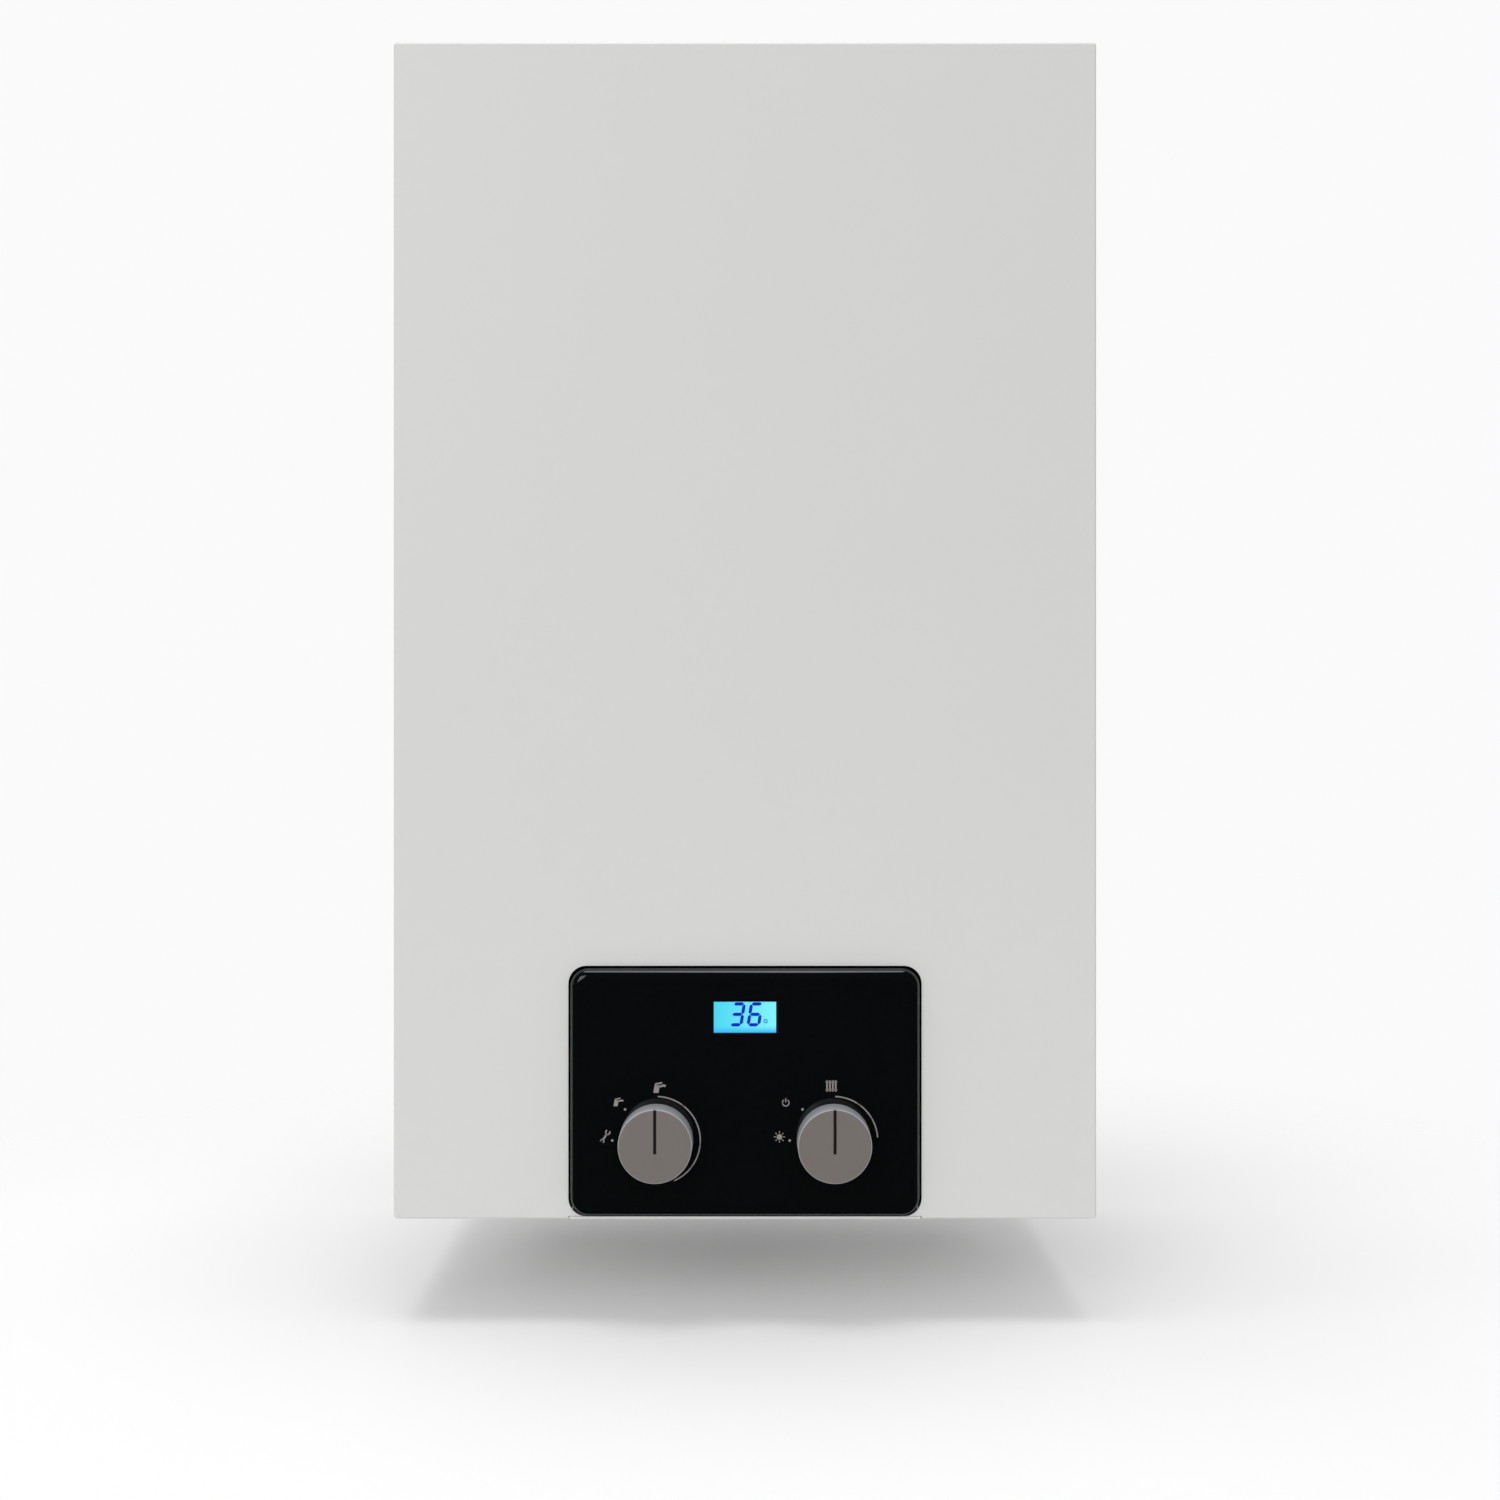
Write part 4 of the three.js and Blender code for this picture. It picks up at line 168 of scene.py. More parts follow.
@dataclass(frozen=True)
class Finish:
    """A real material with the way its surface was made.

    Attributes:
        name: the material's common name and process.
        slot: the record's material slot that it stands for.
        colour: its sRGB colour.
        grain: how the surface was made.
        grain_mm: the size of one mark of the pattern.
        relief_mm: how high the marks stand.
        roughness: its mean roughness.
        metallic: 1 for bare metal.
        ior: its index of refraction; metals keep the default.
        tint: how far the colour wanders to each side, as a share.
        glow: strength of the light that it gives off in its own colour.
        axis: the point that spun marks run round.
    """

    name: str
    slot: str
    colour: str
    grain: Grain
    grain_mm: float
    relief_mm: float
    roughness: float
    metallic: float = 0.0
    ior: float = 1.5
    tint: float = 0.04
    glow: float = 0.0
    axis: Point = (0.0, 0.0, 0.0)

    def material(self) -> bpy.types.Material:
        """Builds the material at its first use.

        Returns:
            The material, the same one at each call.
        """
        known = bpy.data.materials.get(self.name)
        if known:
            return known
        material = bpy.data.materials.new(self.name)
        tree = empty_tree(material)
        coordinates = add_node(tree, "ShaderNodeTexCoord")
        centred = add_node(tree, "ShaderNodeMapping", {"Location": [-a for a in self.axis]},
                           {"Vector": coordinates.outputs["Object"]})
        height, tone = self.pattern(tree, centred.outputs["Vector"])
        base = Vector(linear(self.colour)[:3])
        light, dark = base * (1 + self.tint), base * (1 - self.tint)
        colour = add_node(tree, "ShaderNodeMix", {
            "data_type": "RGBA", 6: (*dark, 1), 7: (*light, 1),
        }, {0: tone})
        rough = add_node(tree, "ShaderNodeMapRange", {
            "To Min": self.roughness * (1 - ROUGHNESS_SPREAD),
            "To Max": min(1.0, self.roughness * (1 + ROUGHNESS_SPREAD)),
        }, {"Value": tone})
        bump = add_node(tree, "ShaderNodeBump", {"Strength": 1.0, "Distance": self.relief_mm * MM},
                        {"Height": height})
        shader = add_node(tree, "ShaderNodeBsdfPrincipled", {
            "Metallic": self.metallic, "IOR": self.ior, "Emission Color": linear(self.colour),
            "Emission Strength": self.glow,
        }, {
            "Base Color": colour.outputs[2], "Roughness": rough.outputs["Result"],
            "Normal": bump.outputs["Normal"],
        })
        add_node(tree, "ShaderNodeOutputMaterial", links={"Surface": shader.outputs["BSDF"]})
        return material

    def pattern(self, tree: bpy.types.NodeTree, place: bpy.types.NodeSocket) -> tuple:
        """Adds the marks that the process leaves.

        Args:
            tree: the material's tree.
            place: the point on the surface, in metres.

        Returns:
            A socket for the marks' height and one for the tone of the colour, both from 0 to 1.
        """
        scale = 1 / (self.grain_mm * MM)
        drift = add_node(tree, "ShaderNodeTexNoise", {"Scale": scale / DRIFT_MARKS, "Detail": 2.0},
                         {"Vector": place})
        tone = drift.outputs["Fac"]
        if self.grain is Grain.SPANGLE:
            crystals = add_node(tree, "ShaderNodeTexVoronoi", {"Scale": scale}, {"Vector": place})
            shade = add_node(tree, "ShaderNodeSeparateColor", links={"Color": crystals.outputs["Color"]})
            return crystals.outputs["Distance"], shade.outputs["Red"]
        if self.grain in (Grain.BRUSHED, Grain.DRAWN):
            along = (0.02, 1.0, 1.0) if self.grain is Grain.BRUSHED else (1.0, 1.0, 0.04)
            stretched = add_node(tree, "ShaderNodeMapping", {"Scale": along}, {"Vector": place})
            lines = add_node(tree, "ShaderNodeTexNoise", {"Scale": scale, "Detail": 3.0},
                             {"Vector": stretched.outputs["Vector"]})
            return lines.outputs["Fac"], lines.outputs["Fac"]
        if self.grain is Grain.SPUN:
            flat = add_node(tree, "ShaderNodeVectorMath", {"operation": "MULTIPLY", 1: (1, 0, 1)}, {0: place})
            radius = add_node(tree, "ShaderNodeVectorMath", {"operation": "LENGTH"},
                              {0: flat.outputs["Vector"]})
            rings = add_node(tree, "ShaderNodeTexNoise", {
                "noise_dimensions": "1D", "Scale": scale, "Detail": 2.0,
            }, {"W": radius.outputs["Value"]})
            return rings.outputs["Fac"], rings.outputs["Fac"]
        if self.grain is Grain.CAST:
            pits = add_node(tree, "ShaderNodeTexVoronoi", {"Scale": scale, "feature": "SMOOTH_F1"},
                            {"Vector": place})
            return pits.outputs["Distance"], tone
        if self.grain is Grain.WOVEN:
            strands = add_node(tree, "ShaderNodeTexWave", {
                "Scale": scale / STRAND_MARKS, "bands_direction": "DIAGONAL",
            }, {"Vector": place})
            return strands.outputs["Fac"], strands.outputs["Fac"]
        detail = 1.0 if self.grain is Grain.POWDER_COAT else 4.0
        skin = add_node(tree, "ShaderNodeTexNoise", {"Scale": scale, "Detail": detail}, {"Vector": place})
        return skin.outputs["Fac"], tone


# Polyester powder coat on sheet steel: an even satin skin with a faint orange peel. The real peel is
# about 1 mm and is drawn a little coarser, so that it still shows.
CASE_PAINT = Finish("powder_coated_steel", "case_paint", "#dcdcdb", Grain.POWDER_COAT, 2.2, 0.012, 0.42,
                    tint=0.004)
# Hot-dip zinc on sheet steel: dull grey with the crystals of the bath.
ZINC_SHEET = Finish("galvanised_steel", "zinc_sheet", "#a4a9ac", Grain.SPANGLE, 9.0, 0.01, 0.42, 0.85,
                    tint=0.10)
# High-gloss ABS, moulded in a polished tool: a near black that mirrors the room.
GLOSS_BLACK = Finish("polished_black_abs", "gloss_black", "#07090a", Grain.MOULDED, 30.0, 0.0, 0.06,
                     ior=1.46)
# Glass-filled nylon from a spark-eroded tool: dark with a fine even grit.
DARK_PLASTIC = Finish("glass_filled_nylon", "dark_plastic", "#1c1e20", Grain.MOULDED, 0.8, 0.03, 0.55,
                      ior=1.53)
# Polypropylene, moulded smooth: mid grey and slightly waxy.
GREY_PLASTIC = Finish("grey_polypropylene", "grey_plastic", "#6c7072", Grain.MOULDED, 1.5, 0.01, 0.45,
                      ior=1.49)
# Acetal and painted polymer parts: off-white with a satin skin.
WHITE_PLASTIC = Finish("white_acetal", "white_plastic", "#dbdad5", Grain.MOULDED, 1.5, 0.01, 0.4, ior=1.48)
# Metallised ABS, turned on the knob's face: warm grey metal with fine rings round its axis.
KNOB_FACE = Finish("spun_metallised_abs", "knob_metal", "#8f8884", Grain.SPUN, 0.45, 0.01, 0.42, 0.35,
                   tint=0.10)
# The same ABS round the knob's side wall and chamfer, satin and even, made paler and bluer than the face as a
# painted highlight: it stands in for the light from above on the side wall and the bright line along the
# chamfer.
KNOB_RIM = Finish("satin_abs_painted_highlight", "knob_metal", "#b9bcc2", Grain.MOULDED, 0.6, 0.0, 0.4, 0.1,
                  tint=0.03)
# Photopolymer resist over copper-clad laminate: a glossy dark green.
CIRCUIT_BOARD = Finish("solder_resist_laminate", "circuit_board", "#14482c", Grain.MOULDED, 2.0, 0.02, 0.3,
                       tint=0.2)
# Austenitic stainless sheet, brushed along the coil.
STAINLESS = Finish("brushed_stainless", "stainless_steel", "#b3b5b5", Grain.BRUSHED, 0.5, 0.01, 0.3, 1.0,
                   tint=0.06)
# Die-cast aluminium as it leaves the mould: pale grey, matt and slightly pitted.
CAST_ALUMINIUM = Finish("die_cast_aluminium", "cast_aluminium", "#a3a5a6", Grain.CAST, 1.4, 0.05, 0.48, 0.9)
# Hot-stamped brass, machined where it seals.
BRASS = Finish("stamped_brass", "brass", "#b08d4b", Grain.DRAWN, 0.8, 0.015, 0.32, 1.0)
# Hard-drawn copper tube, handled and a little darkened.
COPPER = Finish("drawn_copper", "copper", "#ad6a45", Grain.DRAWN, 1.2, 0.01, 0.3, 1.0, tint=0.14)
# Stoved enamel on a spun steel drum.
VESSEL_ENAMEL = Finish("stoved_enamel", "vessel_enamel", "#878d91", Grain.POWDER_COAT, 2.5, 0.015, 0.35)
# EPDM rubber: black and matt.
BLACK_RUBBER = Finish("epdm_rubber", "black_rubber", "#161616", Grain.WOVEN, 2.0, 0.05, 0.8, ior=1.52)
# Red ABS, moulded glossy so that it is found quickly.
RED_PLASTIC = Finish("red_abs", "red_plastic", "#a81e18", Grain.MOULDED, 1.5, 0.01, 0.3, ior=1.54)
# Sintered alumina with a thin glaze.
CERAMIC = Finish("glazed_alumina", "ceramic", "#e9e5d8", Grain.MOULDED, 1.0, 0.01, 0.18, ior=1.76)
# Zinc-plated steel fasteners: brighter and finer than the sheet.
PLATED_STEEL = Finish("plated_steel", "zinc_sheet", "#b4b8ba", Grain.BRUSHED, 0.6, 0.005, 0.28, 1.0)
# Screen-printed ink, a warm grey.
PRINT_INK = Finish("printed_grey_ink", "white_plastic", "#96908e", Grain.MOULDED, 0.6, 0.0, 0.5, tint=0.02)
# The dark filler in a knob's pointer groove.
GROOVE_FILLER = Finish("dark_lacquer", "dark_plastic", "#121314", Grain.MOULDED, 0.8, 0.01, 0.5)
# The dark state of a backlit liquid crystal: a deep blue that lets a little of the light through.
DIGIT_INK = Finish("dark_liquid_crystal", "display", "#0428d8", Grain.MOULDED, 1.0, 0.0, 0.4, tint=0.02,
                   glow=0.7)

SLOT_FINISHES = {finish.slot: finish for finish in (
    CASE_PAINT, ZINC_SHEET, GLOSS_BLACK, DARK_PLASTIC, GREY_PLASTIC, WHITE_PLASTIC, CIRCUIT_BOARD, STAINLESS,
    CAST_ALUMINIUM, BRASS, COPPER, VESSEL_ENAMEL, BLACK_RUBBER, RED_PLASTIC, CERAMIC,
)}


# ---------------------------------------------------------------------------------------------
# Making meshes
# ---------------------------------------------------------------------------------------------


class Body(Enum):
    """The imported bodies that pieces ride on."""

    FRAME = "boiler_frame"
    COVER = "front_cover"
    PANEL = "control_panel"
    HOT_WATER = "hot_water_control"
    HEATING = "heating_control"


KNOB_NODES = {Body.HOT_WATER: "hot_water_knob", Body.HEATING: "heating_knob"}
NIPPLES = ("flow_nipple", "hot_water_nipple", "gas_nipple", "cold_water_nipple", "return_nipple")


def metres(*place: float) -> Vector:
    """A point from its millimetres."""
    return Vector(place) * MM


def corners(node: str) -> tuple[Vector, Vector]:
    """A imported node's lowest and highest corner in millimetres."""
    low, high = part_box(node)
    return Vector(low) / MM, Vector(high) / MM


def around(centre: Flat, radius: float, angle: float) -> Flat:
    """A point on a circle in x and z, at so many degrees clockwise from the top."""
    turn = math.radians(angle)
    return centre[0] + radius * math.sin(turn), centre[1] + radius * math.cos(turn)


def new_object(name: str, mesh: bpy.types.Mesh) -> bpy.types.Object:
    """Links a mesh into the scene as an object at the origin."""
    piece = bpy.data.objects.new(name, mesh)
    bpy.context.scene.collection.objects.link(piece)
    return piece


def shade_round(mesh: bpy.types.Mesh) -> None:
    """Shades a mesh smooth, but for its sharp edges."""
    mesh.polygons.foreach_set("use_smooth", [True] * len(mesh.polygons))
    mesh.set_sharp_from_angle(angle=math.radians(SMOOTH_ANGLE))


def closed_mesh(name: str, points: Sequence[Vector], faces: Sequence[Sequence[int]]) -> bpy.types.Object:
    """Makes an object from points and faces, with its doubles merged and its faces outwards.

    Args:
        name: the piece's name.
        points: its corners in metres.
        faces: the corners of each face.

    Returns:
        The new object.
    """
    mesh = bpy.data.meshes.new(name)
    mesh.from_pydata([tuple(p) for p in points], [], [tuple(f) for f in faces])
    work = bmesh.new()
    work.from_mesh(mesh)
    bmesh.ops.remove_doubles(work, verts=work.verts, dist=SAME_POINT)
    bmesh.ops.recalc_face_normals(work, faces=work.faces)
    work.to_mesh(mesh)
    work.free()
    shade_round(mesh)
    return new_object(name, mesh)


def applied(piece: bpy.types.Object) -> bpy.types.Object:
    """Turns a piece with modifiers to a plain mesh.

    Args:
        piece: the object, whose modifiers are used up.

    Returns:
        The same object.
    """
    graph = bpy.context.evaluated_depsgraph_get()
    mesh = bpy.data.meshes.new_from_object(piece.evaluated_get(graph))
    piece.modifiers.clear()
    piece.data = mesh
    return piece


def carved(piece: bpy.types.Object, cutters: Iterable[bpy.types.Object]) -> bpy.types.Object:
    """Cuts some solids out of a piece and deletes them.

    Args:
        piece: the object that is cut.
        cutters: the solids to take away.

    Returns:
        The same object, as a plain mesh.
    """
    cutters = list(cutters)
    for cutter in cutters:
        modifier = piece.modifiers.new("cut", "BOOLEAN")
        modifier.operation = "DIFFERENCE"
        modifier.solver = "EXACT"
        modifier.object = cutter
    applied(piece)
    for cutter in cutters:
        bpy.data.objects.remove(cutter)
    shade_round(piece.data)
    return piece


def rounded_rectangle(width: float, height: float, corner: float, steps: int = 12) -> list[Flat]:
    """The corners of a rectangle with round corners, about its own middle.

    Args:
        width: its width.
        height: its height.
        corner: its corner radius.
        steps: how many chords each corner has.

    Returns:
        Points anticlockwise.
    """
    outline = []
    for quarter, (side_x, side_z) in enumerate([(1, 1), (-1, 1), (-1, -1), (1, -1)]):
        for step in range(steps + 1):
            angle = (quarter + step / steps) * math.pi / 2
            outline.append((
                side_x * (width / 2 - corner) + corner * math.cos(angle),
                side_z * (height / 2 - corner) + corner * math.sin(angle),
            ))
    return outline


def lofted(name: str, rings: Sequence[Sequence[Vector]]) -> bpy.types.Object:
    """A closed solid through rings of points, flat at both ends.

    Args:
        name: the object's name.
        rings: the outlines from end to end, each with the same count of points.

    Returns:
        The new object.
    """
    count = len(rings[0])
    points = [point for ring in rings for point in ring]
    faces = [tuple(range(count)), tuple(range(len(points) - count, len(points)))]
    for ring in range(len(rings) - 1):
        for i in range(count):
            a, b = ring * count + i, ring * count + (i + 1) % count
            faces.append((a, b, b + count, a + count))
    return closed_mesh(name, points, faces)


def turned(name: str, profile: Sequence[Flat], centre: Point, upright: bool = False,
           segments: int = 96) -> bpy.types.Object:
    """A turned piece.

    Args:
        name: the piece's name.
        profile: radius and place along the axis, once round the section or from axis to axis.
        centre: the point on the axis that the profile starts from.
        upright: whether the axis is Z and not Y.
        segments: how many faces it has round.

    Returns:
        The new object.
    """
    count = len(profile)
    points, faces = [], []
    for segment in range(segments):
        angle = 2 * math.pi * segment / segments
        for radius, along in profile:
            across, other = radius * math.cos(angle), radius * math.sin(angle)
            local = (across, other, along) if upright else (across, along, other)
            points.append(metres(*(c + v for c, v in zip(centre, local))))
        following = (segment + 1) % segments
        for i in range(count):
            j = (i + 1) % count
            if profile[i][0] == 0 and profile[j][0] == 0:
                continue
            quad = [segment * count + i, segment * count + j, following * count + j, following * count + i]
            if profile[i][0] == 0:
                quad.remove(following * count + i)
            elif profile[j][0] == 0:
                quad.remove(following * count + j)
            faces.append(quad)
    return closed_mesh(name, points, faces)


def collar(inner: float, outer: float, low: float, high: float) -> list[Flat]:
    """The section of a plain ring between two radii and two heights."""
    return [(inner, low), (outer, low), (outer, high), (inner, high)]


def soft_slab(name: str, low: Flat, high: Flat, corner: float, edge: float, back: float, front: float,
              least_corner: float = 0.05, border: float = 0.4) -> bpy.types.Object:
    """A slab with round corners and a round front edge, whose front faces -Y.

    Args:
        name: the object's name.
        low: its lowest x and z.
        high: its highest x and z.
        corner: radius of its corners.
        edge: radius of its front edge.
        back: the plane of its back.
        front: the plane of its front.
        least_corner: the corner radius that is left where an outline is too far in.
        border: width of the narrow face round the flat front, which keeps its shading flat.

    Returns:
        The new object.
    """
    middle = ((low[0] + high[0]) / 2, (low[1] + high[1]) / 2)
    size = (high[0] - low[0], high[1] - low[1])

    def ring(inset: float, y: float) -> list[Vector]:
        """One outline of the slab, so much further in."""
        outline = rounded_rectangle(size[0] - 2 * inset, size[1] - 2 * inset,
                                    max(corner - inset, least_corner))
        return [metres(middle[0] + x, y, middle[1] + z) for x, z in outline]

    rings = [ring(0, back)]
    for step in range(EDGE_STEPS + 1):
        angle = math.pi / 2 * step / EDGE_STEPS
        rings.append(ring(edge * (1 - math.cos(angle)), front + edge * (1 - math.sin(angle))))
    rings.append(ring(edge + border, front))
    return lofted(name, rings)


def box_solid(name: str, low: Sequence[float], high: Sequence[float]) -> bpy.types.Object:
    """A box between two corners in millimetres, for cutting."""
    ring = [(low[0], low[2]), (high[0], low[2]), (high[0], high[2]), (low[0], high[2])]
    return lofted(name, [[metres(x, y, z) for x, z in ring] for y in (low[1], high[1])])


def settle(piece: bpy.types.Object, body: Body, finish: Finish) -> bpy.types.Object:
    """Gives a finished piece its material and the body that it rides on.

    Args:
        piece: the object, in its place.
        body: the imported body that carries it.
        finish: its finish, used unless the mesh brings a material of its own.

    Returns:
        The same object.
    """
    if not any(piece.data.materials):
        piece.data.materials.clear()
        piece.data.materials.append(finish.material())
    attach(piece, body.value)
    LOG.info("%s: %d faces on %s", piece.name, len(piece.data.polygons), body.value)
    return piece


# ---------------------------------------------------------------------------------------------
# Geometry node trees for what repeats
# ---------------------------------------------------------------------------------------------


@dataclass
class Pattern:
    """A geometry node tree with named inputs, and the way to run it.

    Attributes:
        name: the tree's name.
        inputs: each input's socket type and default value, by its name.
    """

    name: str
    inputs: dict[str, tuple[str, float | int | Point]]
    tree: bpy.types.NodeTree = field(init=False)
    source: bpy.types.Node = field(init=False)

    def __post_init__(self) -> None:
        """Opens the tree with its inputs and its output."""
        self.tree = bpy.data.node_groups.new(self.name, "GeometryNodeTree")
        interface = self.tree.interface
        interface.new_socket("Geometry", in_out="INPUT", socket_type="NodeSocketGeometry")
        for label, (kind, value) in self.inputs.items():
            interface.new_socket(label, in_out="INPUT", socket_type=kind).default_value = value
        interface.new_socket("Material", in_out="INPUT", socket_type="NodeSocketMaterial")
        interface.new_socket("Geometry", in_out="OUTPUT", socket_type="NodeSocketGeometry")
        self.source = add_node(self.tree, "NodeGroupInput")

    def add(self, kind: str, settings: dict | None = None, links: dict | None = None) -> bpy.types.Node:
        """Adds one node to this tree."""
        return add_node(self.tree, kind, settings, links)

    def scaled(self, label: str, factor: float) -> bpy.types.NodeSocket:
        """An input's value times a factor."""
        node = self.add("ShaderNodeMath", {"operation": "MULTIPLY", 1: factor},
                        {0: self.source.outputs[label]})
        return node.outputs["Value"]

    def turned_along(self, axis: str, along: bpy.types.NodeSocket) -> bpy.types.NodeSocket:
        """The rotation that lays an axis along a vector."""
        node = self.add("FunctionNodeAlignRotationToVector", {"axis": axis}, {"Vector": along})
        return node.outputs["Rotation"]

    def joined(self, *parts: bpy.types.NodeSocket) -> bpy.types.NodeSocket:
        """Several geometries as one."""
        node = self.add("GeometryNodeJoinGeometry")
        for part in parts:
            self.tree.links.new(part, node.inputs["Geometry"])
        return node.outputs["Geometry"]

    def spread(self, **links: bpy.types.NodeSocket) -> bpy.types.NodeSocket:
        """Instances on points, from sockets for Points, Instance and Rotation."""
        return self.add("GeometryNodeInstanceOnPoints", links=links).outputs["Instances"]

    def end(self, instances: bpy.types.NodeSocket) -> None:
        """Realizes the instances, gives them the material and closes the tree."""
        real = self.add("GeometryNodeRealizeInstances", links={"Geometry": instances})
        dressed = self.add("GeometryNodeSetMaterial", links={
            "Geometry": real.outputs["Geometry"], "Material": self.source.outputs["Material"],
        })
        self.add("NodeGroupOutput", links={"Geometry": dressed.outputs["Geometry"]})

    def grow(self, name: str, carrier: bpy.types.Mesh, finish: Finish,
             **sizes: float | int | Point) -> bpy.types.Object:
        """Runs the tree on a carrier mesh and keeps the result as a plain mesh.

        Args:
            name: the new piece's name.
            carrier: the points that the tree works on.
            finish: the material that it sets.
            sizes: values of inputs, by their names with _ for a space.

        Returns:
            The new object.
        """
        piece = new_object(name, carrier)
        modifier = piece.modifiers.new("pattern", "NODES")
        modifier.node_group = self.tree
        values = {label.replace("_", " "): value for label, value in sizes.items()}
        values["Material"] = finish.material()
        for item in self.tree.interface.items_tree:
            if item.item_type == "SOCKET" and item.in_out == "INPUT" and item.name in values:
                modifier[item.identifier] = values[item.name]
        applied(piece)
        shade_round(piece.data)
        return piece


def carrier_mesh(places: Sequence[Point], facings: Sequence[Point], joined: bool = False) -> bpy.types.Mesh:
    """A mesh of loose points, or of one line through them, that carries a pattern.

    Args:
        places: the points in millimetres.
        facings: which way each point faces.
        joined: whether edges join each point to the next.

    Returns:
        The mesh, with the directions in its attribute "facing".
    """
    mesh = bpy.data.meshes.new("carrier")
    edges = [(i, i + 1) for i in range(len(places) - 1)] if joined else []
    mesh.from_pydata([tuple(metres(*place)) for place in places], edges, [])
    facing = mesh.attributes.new("facing", "FLOAT_VECTOR", "POINT")
    for i, direction in enumerate(facings):
        facing.data[i].vector = direction
    return mesh


def blank_carrier() -> bpy.types.Mesh:
    """A carrier for a pattern that makes its own points."""
    return carrier_mesh([(0, 0, 0)], [UPWARDS])


def fastener_pattern() -> Pattern:
    """Screw heads or nuts on points: a washer, a head with its sides, and a socket cut into it.

    Returns:
        The tree, whose carrier's points say where each seats and which way it faces.
    """
    pattern = Pattern("fasteners", {
        "Head Radius": ("NodeSocketFloat", 0.004), "Head Height": ("NodeSocketFloat", 0.0025),
        "Sides": ("NodeSocketInt", 20), "Socket Radius": ("NodeSocketFloat", 0.0015),
    })
    given = pattern.source.outputs

    def drum(sides: bpy.types.NodeSocket | int, radius: bpy.types.NodeSocket, depth: bpy.types.NodeSocket,
             lift: bpy.types.NodeSocket) -> bpy.types.NodeSocket:
        """A cylinder whose middle is lifted off the surface.

        Args:
            sides: how many it has, as a number or a socket.
            radius: its radius.
            depth: its length.
            lift: how far its middle is lifted.

        Returns:
            Its geometry.
        """
        fixed, linked = {}, {"Radius": radius, "Depth": depth}
        (fixed if isinstance(sides, int) else linked)["Vertices"] = sides
        cylinder = pattern.add("GeometryNodeMeshCylinder", fixed, linked)
        place = pattern.add("ShaderNodeCombineXYZ", links={"Z": lift})
        raised = pattern.add("GeometryNodeTransform", links={
            "Geometry": cylinder.outputs["Mesh"], "Translation": place.outputs["Vector"],
        })
        return raised.outputs["Geometry"]

    half = pattern.scaled("Head Height", 0.5)
    head = drum(given["Sides"], given["Head Radius"], given["Head Height"], half)
    socket = drum(HEXAGON, given["Socket Radius"], given["Head Height"], given["Head Height"])
    bored = pattern.add("GeometryNodeMeshBoolean", {"operation": "DIFFERENCE"},
                        {"Mesh 1": head, "Mesh 2": socket})
    washer = drum(24, pattern.scaled("Head Radius", 1.35), pattern.scaled("Head Height", 0.2),
                  pattern.scaled("Head Height", 0.1))
    facing = pattern.add("GeometryNodeInputNamedAttribute", {"data_type": "FLOAT_VECTOR", "Name": "facing"})
    pattern.end(pattern.spread(
        Points=given["Geometry"], Instance=pattern.joined(bored.outputs["Mesh"], washer),
        Rotation=pattern.turned_along("Z", facing.outputs["Attribute"]),
    ))
    return pattern


def ring_pattern() -> Pattern:
    """Rings along a line, for threads.

    Returns:
        The tree, whose carrier is the line.
    """
    pattern = Pattern("rings", {
        "Pitch": ("NodeSocketFloat", 0.0018), "Ring Radius": ("NodeSocketFloat", 0.013),
        "Wire Radius": ("NodeSocketFloat", 0.0005),
    })
    given = pattern.source.outputs
    line = pattern.add("GeometryNodeMeshToCurve", links={"Mesh": given["Geometry"]})
    stops = pattern.add("GeometryNodeCurveToPoints", {"mode": "LENGTH"},
                        {"Curve": line.outputs["Curve"], "Length": given["Pitch"]})
    circle, wire = (
        pattern.add("GeometryNodeCurvePrimitiveCircle", {"Resolution": sides}, {"Radius": given[label]})
        for sides, label in ((40, "Ring Radius"), (HEXAGON, "Wire Radius"))
    )
    ring = pattern.add("GeometryNodeCurveToMesh", links={
        "Curve": circle.outputs["Curve"], "Profile Curve": wire.outputs["Curve"],
    })
    pattern.end(pattern.spread(
        Points=stops.outputs["Points"], Instance=ring.outputs["Mesh"],
        Rotation=pattern.turned_along("Z", stops.outputs["Tangent"]),
    ))
    return pattern


def fin_pattern() -> Pattern:
    """Flat fins round an axis along Y, for a motor's cooling.

    Returns:
        The tree, which needs no points of its own.
    """
    pattern = Pattern("fins", {
        "Count": ("NodeSocketInt", 24), "Middle Radius": ("NodeSocketFloat", 0.04),
        "Fin Size": ("NodeSocketVector", (0.003, 0.0015, 0.05)), "Centre": ("NodeSocketVector", (0, 0, 0)),
    })
    given = pattern.source.outputs
    circle = pattern.add("GeometryNodeMeshCircle", links={
        "Vertices": given["Count"], "Radius": given["Middle Radius"],
    })
    fin = pattern.add("GeometryNodeMeshCube", links={"Size": given["Fin Size"]})
    outwards = pattern.add("GeometryNodeInputPosition")
    ring = pattern.spread(
        Points=circle.outputs["Mesh"], Instance=fin.outputs["Mesh"],
        Rotation=pattern.turned_along("X", outwards.outputs["Position"]),
    )
    laid = pattern.add("GeometryNodeTransform", {"Rotation": (math.pi / 2, 0, 0)}, {
        "Geometry": ring, "Translation": given["Centre"],
    })
    pattern.end(laid.outputs["Geometry"])
    return pattern


